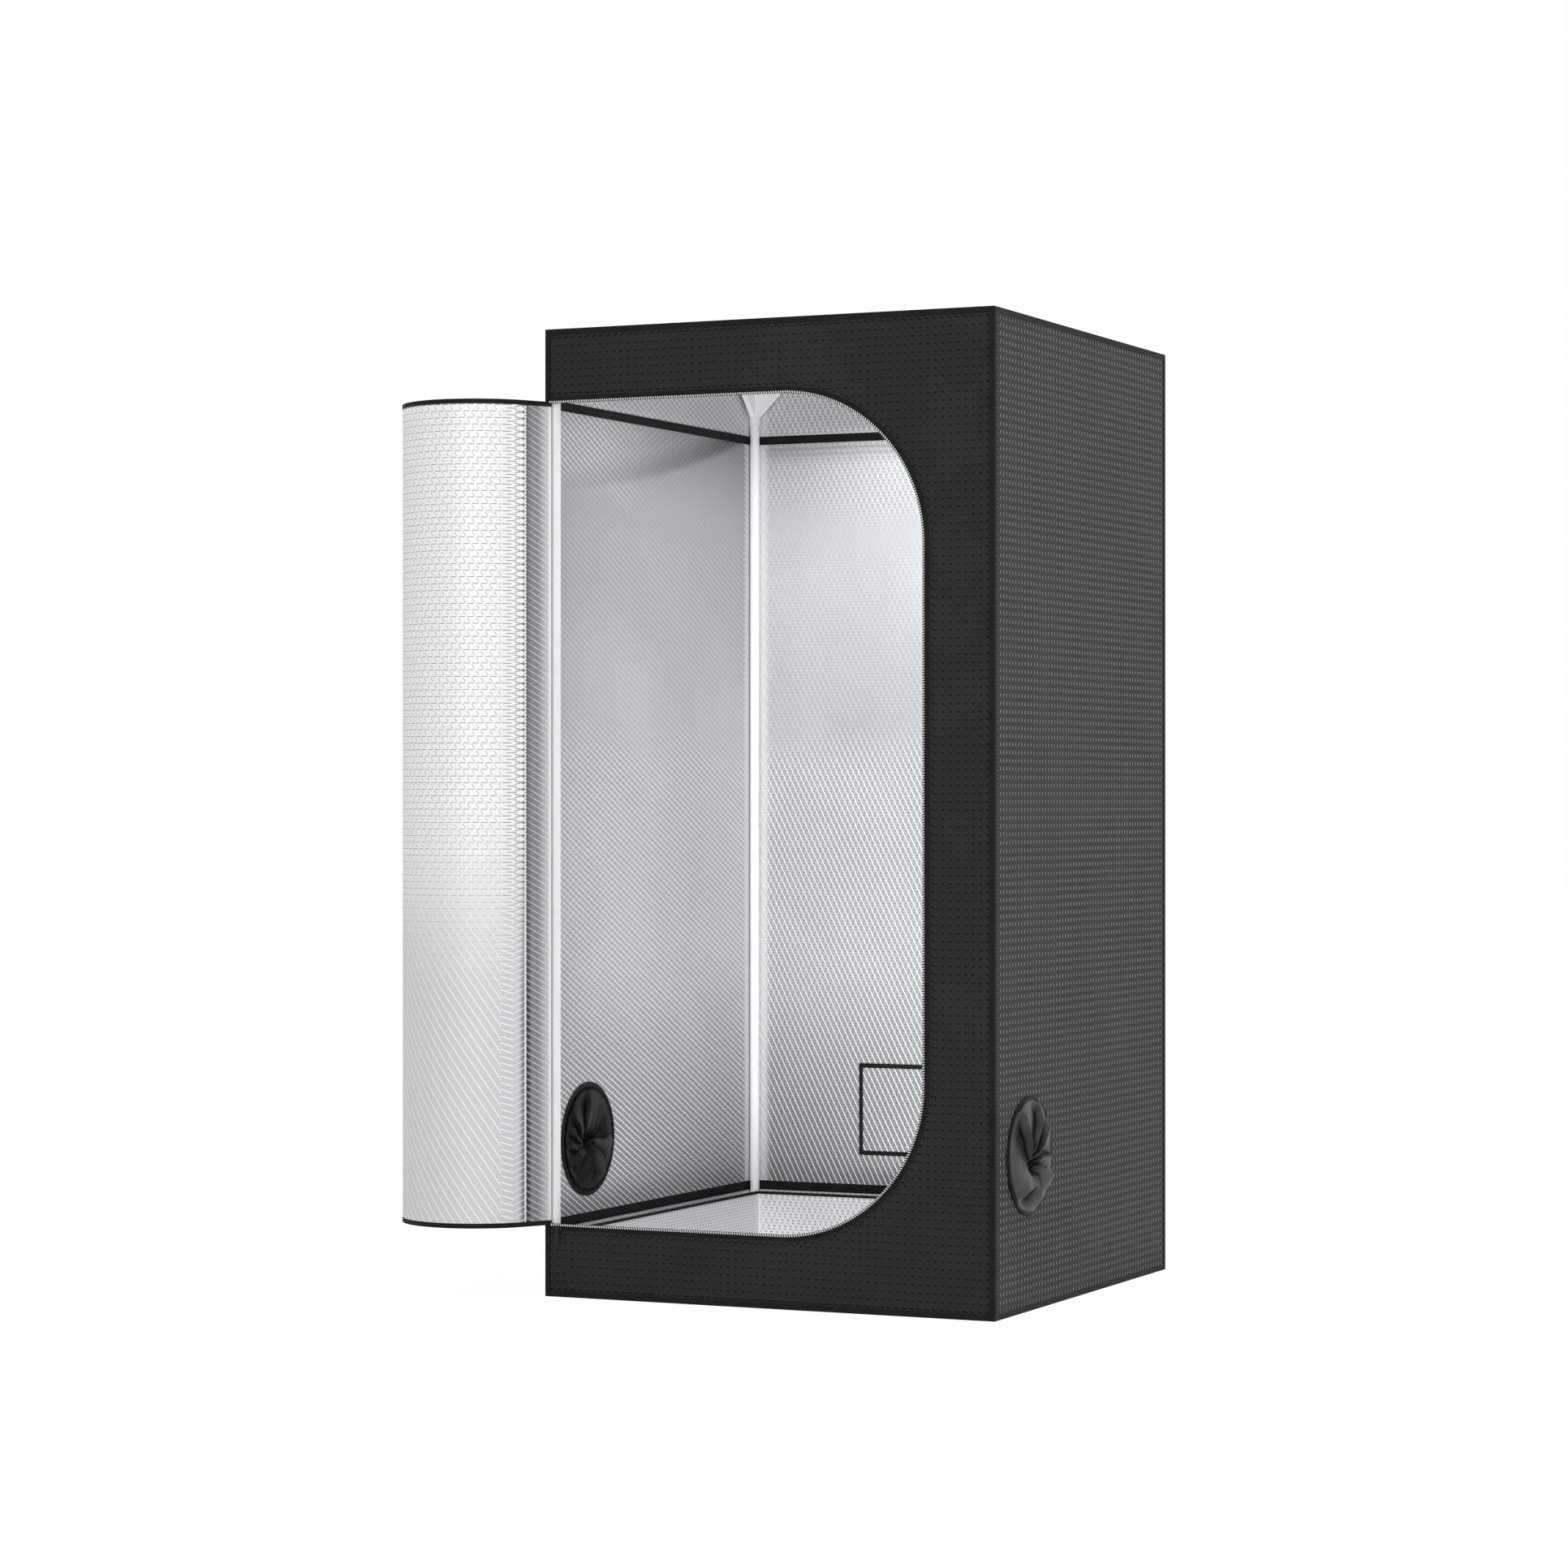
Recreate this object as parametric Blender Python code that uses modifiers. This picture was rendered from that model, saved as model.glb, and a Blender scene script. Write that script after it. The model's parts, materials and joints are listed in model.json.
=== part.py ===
"""Indoor grow tent: a steel pole frame in a reflective cloth skin with a D-shaped zip door.

The door is shown rolled open to the left. It is cut into upright strips on a chain of
fold lines, so it can unroll until it lies flat in its opening.

Frame of the part: origin on the floor at the middle of the tent, X to the right along the
front, Y to the back, Z up. All lengths are in metres and all angles in degrees.
"""

import math

import bmesh
import bpy
from mathutils import Matrix, Vector

# Overall size over the cloth
TENT_WIDTH = 0.800
TENT_DEPTH = 0.800
TENT_HEIGHT = 1.600

# Cloth and fits
CLOTH = 0.002
SEAT_GAP = 0.0003
CUT_OVERRUN = 0.004
WELD = 0.00001

# Pole frame
POLE_DIAMETER = 0.017
POLE_WALL = 0.0012
SLEEVE_DIAMETER = 0.0196
SLEEVE_REACH = 0.093
HUB_SHARE = 0.96
POLE_STOP = 0.016
GUSSET_REACH = 0.089
GUSSET_THICKNESS = 0.009
TUBE_SIDES = 12

# Door opening in the front panel
HEADER_HEIGHT = 0.118
SILL_HEIGHT = 0.117
HINGE_MARGIN = 0.009
LATCH_MARGIN = 0.118
OPENING_RADIUS = 0.252
ARC_STEPS = 12

# Rolled door
ZIP_GAP = 0.002
HINGE_HALF_GAP = 0.002
FOLD_HALF_GAP = 0.0005
STRIP_COUNT = 12
DOOR_LEAVE_DEG = 117.5
DOOR_ROLL_DEG = 277.0

# Duct ports: one low in each side wall, one in the roof
PORT_DIAMETER = 0.185
PORT_SIDES = 24
PORT_FROM_FRONT = 0.146
PORT_HEIGHT = 0.250
ROOF_PORT_FROM_BACK = 0.220
ROOF_PORT_FROM_LEFT = 0.220
FLANGE_WIDTH = 0.0035
FLANGE_THICKNESS = 0.002
COLLAR_WALL = 0.004

# Gathered socks that close the ports
SOCK_SEGMENTS = 28
SOCK_RIM_STEP = 0.002
SOCK_CORE_RADIUS = 0.007
SOCK_CORE_DROP = 0.004
OUTER_SOCK_BULGE = 0.022
INNER_SOCK_BULGE = 0.013
SOCK_FOLD_HEIGHT = 0.007
SOCK_TWIST_DEG = 50.0
SOCK_RING_SHARES = (0.0, 0.14, 0.34, 0.56, 0.78, 0.93, 1.0)
SOCK_FOLDS = ((5, 0.62, 20.0), (8, 0.38, 95.0))

# Rear vent
VENT_FLAP_WIDTH = 0.366
VENT_FLAP_HEIGHT = 0.165
VENT_FROM_FLOOR = 0.180
VENT_BORDER = 0.008
VENT_FRAME_LAP = 0.004
NET_THICKNESS = 0.0012
NET_RIM = 0.006
NET_STRAND = 0.003
NET_COLUMNS = 12
NET_ROWS = 5

# Spill tray
TRAY_HEIGHT = 0.108

# Hanging bars
BAR_DIAMETER = 0.016
BAR_WALL = 0.0012
BAR_FROM_MIDDLE = 0.130
HOOK_STRAP = 0.001
HOOK_WIDTH = 0.024
BAR_DROP = 0.024
HOOK_OUTER_DEG = 150.0
SOCKET_WALL = 0.0015
SOCKET_LENGTH = 0.022
BAR_END_CLEARANCE = 0.001

# Zip slider and its pull tab
SLIDER_LENGTH = 0.012
SLIDER_HEIGHT = 0.009
SLIDER_THICKNESS = 0.005
SLIDER_BEVEL = 0.0012
SLIDER_OVER_SILL = 0.001
SLIDER_FROM_HINGE = 0.016
LUG_WIDTH = 0.0015
LUG_HEIGHT = 0.005
PIN_DIAMETER = 0.002
KNUCKLE_WALL = 0.0009
KNUCKLE_WIDTH = 0.004
TAB_LENGTH = 0.028
TAB_WIDTH = 0.007
TAB_THICKNESS = 0.0014
PIN_SIDES = 8

# Places worked out from the sizes above
POLE_INSET = CLOTH + SEAT_GAP + SLEEVE_DIAMETER / 2
POLE_X = TENT_WIDTH / 2 - POLE_INSET
POLE_Y = TENT_DEPTH / 2 - POLE_INSET
POLE_LOW = POLE_INSET
POLE_HIGH = TENT_HEIGHT - POLE_INSET
FRONT_Y = -TENT_DEPTH / 2
BACK_Y = TENT_DEPTH / 2
SKIN_X = TENT_WIDTH / 2 - CLOTH - SEAT_GAP
SKIN_Y = TENT_DEPTH / 2 - CLOTH - SEAT_GAP
OPENING_LEFT = -TENT_WIDTH / 2 + HINGE_MARGIN
OPENING_RIGHT = TENT_WIDTH / 2 - LATCH_MARGIN
OPENING_LOW = SILL_HEIGHT
OPENING_HIGH = TENT_HEIGHT - HEADER_HEIGHT
HINGE_X = OPENING_LEFT + HINGE_HALF_GAP
HINGE_Y = FRONT_Y + CLOTH / 2
DOOR_WIDTH = OPENING_RIGHT - ZIP_GAP - HINGE_X
STRIP_WIDTH = DOOR_WIDTH / STRIP_COUNT
FOLD_DEG = DOOR_ROLL_DEG / (STRIP_COUNT - 1)
FOLDS_DEG = [DOOR_LEAVE_DEG, FOLD_DEG / 2] + [FOLD_DEG] * (STRIP_COUNT - 2)

# Turns that stand a flat outline up: its own X and Y become the two named directions
FLAT = Matrix.Identity(4)
FRONT = Matrix.Rotation(math.radians(90), 4, "X")
SIDE = Matrix(((0, 0, 1, 0), (1, 0, 0, 0), (0, 1, 0, 0), (0, 0, 0, 1)))

# Finishes: base colour, roughness, metallic
FINISHES = {
    "outer_cloth": ((0.024, 0.024, 0.025), 0.78, 0.0),
    "mylar_lining": ((0.62, 0.64, 0.66), 0.32, 0.75),
    "steel_white": ((0.84, 0.84, 0.85), 0.38, 0.0),
    "white_plastic": ((0.80, 0.80, 0.80), 0.45, 0.0),
    "black_trim": ((0.012, 0.012, 0.013), 0.70, 0.0),
    "sock_cloth": ((0.018, 0.018, 0.019), 0.48, 0.0),
    "vent_net": ((0.015, 0.015, 0.015), 0.80, 0.0),
    "zip_metal": ((0.10, 0.10, 0.11), 0.40, 0.9),
}


def clear_scene():
    for obj in list(bpy.data.objects):
        bpy.data.objects.remove(obj, do_unlink=True)


def make_collection(name):
    collection = bpy.data.collections.new(name)
    bpy.context.scene.collection.children.link(collection)
    return collection


def make_finishes():
    finishes = {}
    for name, (colour, roughness, metallic) in FINISHES.items():
        material = bpy.data.materials.new(name)
        material.use_nodes = True
        shader = material.node_tree.nodes["Principled BSDF"]
        shader.inputs["Base Color"].default_value = (*colour, 1.0)
        shader.inputs["Roughness"].default_value = roughness
        shader.inputs["Metallic"].default_value = metallic
        material.diffuse_color = (*colour, 1.0)
        finishes[name] = material
    return finishes


def add_part(name, mesh, finish, location=(0, 0, 0), parent=None, turn=(0, 0, 0)):
    """One named sub-part in the tent's collection, round where its faces meet gently."""
    part = bpy.data.objects.new(name, mesh)
    tent.objects.link(part)
    part.location = location
    part.rotation_euler = [math.radians(angle) for angle in turn]
    part.parent = parent
    mesh.materials.clear()
    mesh.materials.append(finishes[finish])
    mesh.shade_smooth()
    mesh.set_sharp_from_angle(angle=math.radians(35))
    return part


def flat_mesh(name, outlines, thickness, stand=FLAT):
    """Mesh of a flat piece from its outline and holes, centred on its thickness."""
    curve = bpy.data.curves.new(name, "CURVE")
    curve.dimensions = "2D"
    curve.fill_mode = "BOTH"
    curve.extrude = thickness / 2
    for outline in outlines:
        spline = curve.splines.new("POLY")
        spline.points.add(len(outline) - 1)
        for point, (across, up) in zip(spline.points, outline):
            point.co = (across, up, 0, 1)
        spline.use_cyclic_u = True
    holder = bpy.data.objects.new(name, curve)
    cutters.objects.link(holder)
    bpy.context.view_layer.update()
    evaluated = holder.evaluated_get(bpy.context.evaluated_depsgraph_get())
    mesh = bpy.data.meshes.new_from_object(evaluated)
    bpy.data.objects.remove(holder)
    mesh.transform(stand)
    weld(mesh)
    return mesh


def weld(mesh):
    shape = bmesh.new()
    shape.from_mesh(mesh)
    bmesh.ops.remove_doubles(shape, verts=shape.verts, dist=WELD)
    bmesh.ops.recalc_face_normals(shape, faces=shape.faces)
    shape.to_mesh(mesh)
    shape.free()


def box_mesh(name, low, high):
    size = [top - bottom for bottom, top in zip(low, high)]
    middle = [(top + bottom) / 2 for bottom, top in zip(low, high)]
    shape = bmesh.new()
    bmesh.ops.create_cube(shape, size=1)
    bmesh.ops.scale(shape, vec=size, verts=shape.verts)
    bmesh.ops.translate(shape, vec=middle, verts=shape.verts)
    mesh = bpy.data.meshes.new(name)
    shape.to_mesh(mesh)
    shape.free()
    return mesh


def rod_mesh(name, radius, start, end, axis, sides=TUBE_SIDES):
    """Solid round bar from start to end along X, Y or Z, with flat facets up and down."""
    turns = {"X": ("Y", 90), "Y": ("X", -90), "Z": ("Z", 0)}
    about, angle = turns[axis]
    shape = bmesh.new()
    bmesh.ops.create_cone(shape, cap_ends=True, segments=sides, radius1=radius,
                          radius2=radius, depth=end - start)
    bmesh.ops.translate(shape, vec=(0, 0, (start + end) / 2), verts=shape.verts)
    turn = Matrix.Rotation(math.radians(angle), 3, about)
    bmesh.ops.rotate(shape, cent=(0, 0, 0), matrix=turn, verts=shape.verts)
    mesh = bpy.data.meshes.new(name)
    shape.to_mesh(mesh)
    shape.free()
    return mesh


def combine(base, tool_meshes, operation):
    """Join meshes to the base mesh, or cut them from it, and return the new mesh."""
    holder = bpy.data.objects.new(base.name, base)
    cutters.objects.link(holder)
    tools = []
    for tool_mesh in tool_meshes:
        tool = bpy.data.objects.new(tool_mesh.name, tool_mesh)
        tool.hide_render = True
        tool.display_type = "WIRE"
        cutters.objects.link(tool)
        tools.append(tool)
        step = holder.modifiers.new(operation.lower(), "BOOLEAN")
        step.operation = operation
        step.solver = "EXACT"
        step.object = tool
    bpy.context.view_layer.update()
    evaluated = holder.evaluated_get(bpy.context.evaluated_depsgraph_get())
    mesh = bpy.data.meshes.new_from_object(evaluated)
    for obj in tools + [holder]:
        bpy.data.objects.remove(obj)
    weld(mesh)
    return mesh


def tube_mesh(name, radius, wall, start, end, axis):
    outer = rod_mesh(name, radius, start, end, axis)
    bore = rod_mesh(name + "_bore", radius - wall, start - CUT_OVERRUN,
                    end + CUT_OVERRUN, axis)
    return combine(outer, [bore], "DIFFERENCE")


def rectangle(low_across, low_up, high_across, high_up):
    return [(low_across, low_up), (high_across, low_up),
            (high_across, high_up), (low_across, high_up)]


def polygon(centre_across, centre_up, radius, sides):
    corners = []
    for index in range(sides):
        angle = math.tau * index / sides
        corners.append((centre_across + radius * math.cos(angle),
                        centre_up + radius * math.sin(angle)))
    return corners


# Pole frame

def make_poles():
    """Four uprights and eight rails, each a steel tube between two corner sleeves."""
    end = POLE_STOP + SEAT_GAP
    spans = {"X": (-POLE_X + end, POLE_X - end),
             "Y": (-POLE_Y + end, POLE_Y - end),
             "Z": (POLE_LOW + end, POLE_HIGH - end)}
    meshes = {}
    for axis, (start, stop) in spans.items():
        meshes[axis] = tube_mesh("pole_" + axis, POLE_DIAMETER / 2, POLE_WALL,
                                 start, stop, axis)
    sides = (("left", -1), ("right", 1))
    ends = (("front", -1), ("rear", 1))
    levels = (("bottom", POLE_LOW), ("top", POLE_HIGH))
    for end_name, y_sign in ends:
        for side_name, x_sign in sides:
            place = (x_sign * POLE_X, y_sign * POLE_Y, 0)
            name = f"upright_{end_name}_{side_name}"
            add_part(name, meshes["Z"].copy(), "steel_white", place)
    for level_name, height in levels:
        for end_name, y_sign in ends:
            place = (0, y_sign * POLE_Y, height)
            name = f"{level_name}_rail_{end_name}"
            add_part(name, meshes["X"].copy(), "steel_white", place)
        for side_name, x_sign in sides:
            place = (x_sign * POLE_X, 0, height)
            name = f"{level_name}_rail_{side_name}"
            add_part(name, meshes["Y"].copy(), "steel_white", place)


def make_corner_mesh():
    """Three-way corner with its arms along +X, +Y and +Z from the crossing of the poles."""
    arm = SLEEVE_REACH - POLE_INSET
    gusset = GUSSET_REACH - POLE_INSET
    radius = SLEEVE_DIAMETER / 2
    hub_half = radius * HUB_SHARE
    hub = box_mesh("corner", (-hub_half,) * 3, (hub_half,) * 3)
    triangle = [(0, 0), (gusset, 0), (0, gusset)]
    joined = [rod_mesh("arm_" + axis, radius, 0, arm, axis) for axis in "XYZ"]
    joined.append(flat_mesh("rib_front", [triangle], GUSSET_THICKNESS, FRONT))
    joined.append(flat_mesh("rib_side", [triangle], GUSSET_THICKNESS, SIDE))
    solid = combine(hub, joined, "UNION")
    bore = POLE_DIAMETER / 2 + SEAT_GAP
    bores = [rod_mesh("bore_" + axis, bore, POLE_STOP, arm + CUT_OVERRUN, axis)
             for axis in "XYZ"]
    return combine(solid, bores, "DIFFERENCE")


def make_corners():
    """The same moulding fits all eight corners, turned to face inwards."""
    mesh = make_corner_mesh()
    quarter_turns = {("front", "left"): 0, ("front", "right"): 1,
                     ("rear", "right"): 2, ("rear", "left"): 3}
    flip = Matrix.Rotation(math.pi, 4, Vector((1, 1, 0)))
    for (end_name, side_name), turns in quarter_turns.items():
        x = POLE_X if side_name == "right" else -POLE_X
        y = POLE_Y if end_name == "rear" else -POLE_Y
        turn = Matrix.Rotation(math.radians(90 * turns), 4, "Z")
        for level_name, z in (("bottom", POLE_LOW), ("top", POLE_HIGH)):
            copy = mesh.copy()
            copy.transform(turn if level_name == "bottom" else turn @ flip)
            name = f"corner_{level_name}_{end_name}_{side_name}"
            add_part(name, copy, "white_plastic", (x, y, z))


# Cloth skin

def opening_outline():
    """D-shaped hole: square corners at the hinge side, large round ones at the zip side."""
    centre = OPENING_RIGHT - OPENING_RADIUS
    outline = [(OPENING_LEFT, OPENING_HIGH), (OPENING_LEFT, OPENING_LOW)]
    for index in range(ARC_STEPS + 1):
        angle = math.radians(-90 + 90 * index / ARC_STEPS)
        outline.append((centre + OPENING_RADIUS * math.cos(angle),
                        OPENING_LOW + OPENING_RADIUS * (1 + math.sin(angle))))
    for index in range(ARC_STEPS + 1):
        angle = math.radians(90 * index / ARC_STEPS)
        outline.append((centre + OPENING_RADIUS * math.cos(angle),
                        OPENING_HIGH - OPENING_RADIUS * (1 - math.sin(angle))))
    return outline


def vent_window():
    return (-VENT_FLAP_WIDTH / 2 + VENT_BORDER, VENT_FROM_FLOOR + VENT_BORDER,
            VENT_FLAP_WIDTH / 2 - VENT_BORDER,
            VENT_FROM_FLOOR + VENT_FLAP_HEIGHT - VENT_BORDER)


def make_skin():
    """Six cloth panels: front and back lap over the sides, roof and floor lie between."""
    half = TENT_WIDTH / 2
    face = rectangle(-half, 0, half, TENT_HEIGHT)
    front = flat_mesh("front", [face, opening_outline()], CLOTH, FRONT)
    add_part("front_panel", front, "outer_cloth", (0, FRONT_Y + CLOTH / 2, 0))
    back = flat_mesh("back", [face, rectangle(*vent_window())], CLOTH, FRONT)
    add_part("back_wall", back, "outer_cloth", (0, BACK_Y - CLOTH / 2, 0))
    port_y = FRONT_Y + PORT_FROM_FRONT
    port = polygon(port_y, PORT_HEIGHT, PORT_DIAMETER / 2, PORT_SIDES)
    wall = rectangle(-SKIN_Y, 0, SKIN_Y, TENT_HEIGHT)
    for name, sign in (("left_wall", -1), ("right_wall", 1)):
        mesh = flat_mesh(name, [wall, port], CLOTH, SIDE)
        add_part(name, mesh, "outer_cloth", (sign * (half - CLOTH / 2), 0, 0))
    plan = rectangle(-SKIN_X, -SKIN_Y, SKIN_X, SKIN_Y)
    hole = polygon(-half + ROOF_PORT_FROM_LEFT, BACK_Y - ROOF_PORT_FROM_BACK,
                   PORT_DIAMETER / 2, PORT_SIDES)
    roof = flat_mesh("roof", [plan, hole], CLOTH)
    add_part("roof_panel", roof, "outer_cloth", (0, 0, TENT_HEIGHT - CLOTH / 2))
    floor = flat_mesh("floor", [plan], CLOTH)
    add_part("floor_panel", floor, "mylar_lining", (0, 0, CLOTH / 2))


def make_tray():
    """Loose waterproof tray that fills the floor inside the bottom rails."""
    half_x = POLE_X - SLEEVE_DIAMETER / 2 - SEAT_GAP
    half_y = POLE_Y - SLEEVE_DIAMETER / 2 - SEAT_GAP
    low = CLOTH + SEAT_GAP
    mesh = box_mesh("tray", (-half_x, -half_y, low), (half_x, half_y, TRAY_HEIGHT))
    shape = bmesh.new()
    shape.from_mesh(mesh)
    top = [face for face in shape.faces if face.normal.z > 0.5]
    bmesh.ops.delete(shape, geom=top, context="FACES_ONLY")
    shape.to_mesh(mesh)
    shape.free()
    tray = add_part("spill_tray", mesh, "mylar_lining")
    wall = tray.modifiers.new("cloth", "SOLIDIFY")
    wall.thickness = CLOTH
    wall.offset = -1
    wall.use_even_offset = True


# Rolled door

def door_edge_rise(across):
    """How far the door's rounded edge stands in from its straight run, at a distance
    from the hinge."""
    radius = OPENING_RADIUS - ZIP_GAP
    beyond = across - (DOOR_WIDTH - radius)
    if beyond <= 0:
        return 0
    return radius - math.sqrt(max(radius ** 2 - beyond ** 2, 0))


def strip_outline(start, stop, base):
    """Outline of one strip between two distances from the hinge, measured from base."""
    radius = OPENING_RADIUS - ZIP_GAP
    stations = {start, stop}
    for index in range(1, ARC_STEPS):
        angle = math.radians(90 * index / ARC_STEPS)
        station = DOOR_WIDTH - radius * (1 - math.sin(angle))
        if start < station < stop:
            stations.add(station)
    low = OPENING_LOW + ZIP_GAP
    high = OPENING_HIGH - ZIP_GAP
    ordered = sorted(stations)
    outline = [(x - base, low + door_edge_rise(x)) for x in ordered]
    outline += [(x - base, high - door_edge_rise(x)) for x in reversed(ordered)]
    return outline


def make_door():
    """Strips hung one from the next: a straight one from the hinge, then a round roll."""
    parent = None
    for index in range(STRIP_COUNT):
        base = index * STRIP_WIDTH
        start = base + (FOLD_HALF_GAP if index else HINGE_HALF_GAP)
        last = index == STRIP_COUNT - 1
        stop = base + STRIP_WIDTH - (0 if last else FOLD_HALF_GAP)
        outline = strip_outline(start, stop, base)
        mesh = flat_mesh(f"strip_{index + 1}", [outline], CLOTH, FRONT)
        place = (STRIP_WIDTH, 0, 0) if index else (HINGE_X, HINGE_Y, 0)
        name = f"door_strip_{index + 1:02d}"
        parent = add_part(name, mesh, "mylar_lining", place, parent,
                          (0, 0, -FOLDS_DEG[index]))


# Duct ports

def collar_mesh(name):
    """Turned ring with a groove that the edge of the cloth sits in."""
    hub = PORT_DIAMETER / 2 - SEAT_GAP
    flange = PORT_DIAMETER / 2 + FLANGE_WIDTH
    bore = hub - COLLAR_WALL
    inner = CLOTH / 2 + SEAT_GAP
    outer = inner + FLANGE_THICKNESS
    profile = [(flange, outer), (flange, inner), (hub, inner), (hub, -inner),
               (flange, -inner), (flange, -outer), (bore, -outer), (bore, outer)]
    mesh = bpy.data.meshes.new(name)
    edges = [(index, (index + 1) % len(profile)) for index in range(len(profile))]
    mesh.from_pydata([(radius, 0, height) for radius, height in profile], edges, [])
    return mesh


def sock_mesh(name, bulge):
    """Gathered cloth: rings shrink from the rim to a twisted core, with radial folds."""
    rim = PORT_DIAMETER / 2 + FLANGE_WIDTH - SOCK_RIM_STEP
    shape = bmesh.new()
    rings = []
    for share in SOCK_RING_SHARES:
        radius = rim + (SOCK_CORE_RADIUS - rim) * share
        crown = bulge * math.sin(math.pi * min(share * 0.5 + share ** 2 * 0.3, 1))
        fold = SOCK_FOLD_HEIGHT * math.sin(math.pi * share) ** 0.8 * (bulge / OUTER_SOCK_BULGE)
        ring = []
        for index in range(SOCK_SEGMENTS):
            angle = math.tau * index / SOCK_SEGMENTS
            wave = 0
            for count, weight, phase in SOCK_FOLDS:
                wave += weight * math.cos(count * angle + math.radians(phase))
            turned = angle + math.radians(SOCK_TWIST_DEG) * share ** 2
            height = CLOTH + crown - SOCK_CORE_DROP * share ** 6 + fold * wave
            ring.append(shape.verts.new((radius * math.cos(turned),
                                         radius * math.sin(turned), height)))
        rings.append(ring)
    for wide, narrow in zip(rings, rings[1:]):
        for index in range(SOCK_SEGMENTS):
            after = (index + 1) % SOCK_SEGMENTS
            shape.faces.new((wide[index], wide[after], narrow[after], narrow[index]))
    shape.faces.new(rings[-1])
    mesh = bpy.data.meshes.new(name)
    shape.to_mesh(mesh)
    shape.free()
    return mesh


def make_port(name, centre, outward):
    """Collar through the cloth with a gathered sock on each side of it."""
    direction = Vector(outward)
    facing = direction.to_track_quat("Z", "Y").to_matrix().to_4x4()
    away = (-direction).to_track_quat("Z", "Y").to_matrix().to_4x4()
    collar = add_part(name + "_collar", collar_mesh(name), "black_trim")
    collar.matrix_world = Matrix.Translation(centre) @ facing
    turned = collar.modifiers.new("turned", "SCREW")
    turned.steps = PORT_SIDES
    turned.render_steps = PORT_SIDES
    turned.use_merge_vertices = True
    turned.merge_threshold = WELD
    seat = CLOTH / 2 + SEAT_GAP + FLANGE_THICKNESS + SEAT_GAP
    socks = (("_outer_sock", facing, direction, OUTER_SOCK_BULGE),
             ("_inner_sock", away, -direction, INNER_SOCK_BULGE))
    for suffix, turn, side, bulge in socks:
        mesh = sock_mesh(name + suffix, bulge)
        sock = add_part(name + suffix, mesh, "sock_cloth")
        sock.matrix_world = Matrix.Translation(Vector(centre) + side * seat) @ turn
        cloth = sock.modifiers.new("cloth", "SOLIDIFY")
        cloth.thickness = CLOTH
        cloth.offset = -1


def make_ports():
    wall = TENT_WIDTH / 2 - CLOTH / 2
    port_y = FRONT_Y + PORT_FROM_FRONT
    make_port("left_port", (-wall, port_y, PORT_HEIGHT), (-1, 0, 0))
    make_port("right_port", (wall, port_y, PORT_HEIGHT), (1, 0, 0))
    roof = (-TENT_WIDTH / 2 + ROOF_PORT_FROM_LEFT, BACK_Y - ROOF_PORT_FROM_BACK,
            TENT_HEIGHT - CLOTH / 2)
    make_port("roof_port", roof, (0, 0, 1))


# Rear vent

def make_vent():
    """Net in the back wall's window, a frame over its edge, and a flap inside."""
    left, low, right, high = vent_window()
    fit = SEAT_GAP
    outlines = [rectangle(left + fit, low + fit, right - fit, high - fit)]
    cell_width = (right - left - 2 * NET_RIM + NET_STRAND) / NET_COLUMNS
    cell_height = (high - low - 2 * NET_RIM + NET_STRAND) / NET_ROWS
    for column in range(NET_COLUMNS):
        for row in range(NET_ROWS):
            x = left + NET_RIM + column * cell_width
            z = low + NET_RIM + row * cell_height
            outlines.append(rectangle(x, z, x + cell_width - NET_STRAND,
                                      z + cell_height - NET_STRAND))
    net = flat_mesh("net", outlines, NET_THICKNESS, FRONT)
    add_part("rear_vent_net", net, "vent_net", (0, BACK_Y - NET_THICKNESS / 2, 0))
    lap = VENT_FRAME_LAP
    frame = flat_mesh("vent_frame", [
        rectangle(left - VENT_BORDER, low - VENT_BORDER,
                  right + VENT_BORDER, high + VENT_BORDER),
        rectangle(left + lap, low + lap, right - lap, high - lap)], CLOTH, FRONT)
    add_part("rear_vent_frame", frame, "black_trim", (0, BACK_Y + SEAT_GAP + CLOTH / 2, 0))
    inner_face = BACK_Y - CLOTH - SEAT_GAP - CLOTH
    top = VENT_FROM_FLOOR + VENT_FLAP_HEIGHT
    flap = box_mesh("flap", (-VENT_FLAP_WIDTH / 2, 0, -VENT_FLAP_HEIGHT),
                    (VENT_FLAP_WIDTH / 2, CLOTH, 0))
    add_part("rear_vent_flap", flap, "mylar_lining", (0, inner_face, top))


# Hanging bars

def hook_mesh():
    """Strap over the left side rail with a socket below it for the end of the bar, about
    the rail's centre. The socket points inwards, along +X."""
    inner = POLE_DIAMETER / 2 + SEAT_GAP
    outer = inner + HOOK_STRAP
    bore = BAR_DIAMETER / 2 + SEAT_GAP
    leg = BAR_DROP + bore + SOCKET_WALL
    step = 360 / TUBE_SIDES
    angles = [index * step for index in range(round(HOOK_OUTER_DEG / step) + 1)]
    profile = [(outer, -leg)]
    profile += [(outer * math.cos(math.radians(angle)), outer * math.sin(math.radians(angle)))
                for angle in angles]
    profile += [(inner * math.cos(math.radians(angle)), inner * math.sin(math.radians(angle)))
                for angle in reversed(angles)]
    profile.append((inner, -leg))
    strap = flat_mesh("strap", [profile], HOOK_WIDTH, FRONT)
    far = outer + SOCKET_LENGTH
    socket = rod_mesh("socket", bore + SOCKET_WALL, inner + HOOK_STRAP / 2, far, "X")
    hollow = rod_mesh("hollow", bore, outer + SEAT_GAP, far + CUT_OVERRUN, "X")
    for rod in (socket, hollow):
        rod.transform(Matrix.Translation((0, 0, -BAR_DROP)))
    return combine(combine(strap, [socket], "UNION"), [hollow], "DIFFERENCE")


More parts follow.
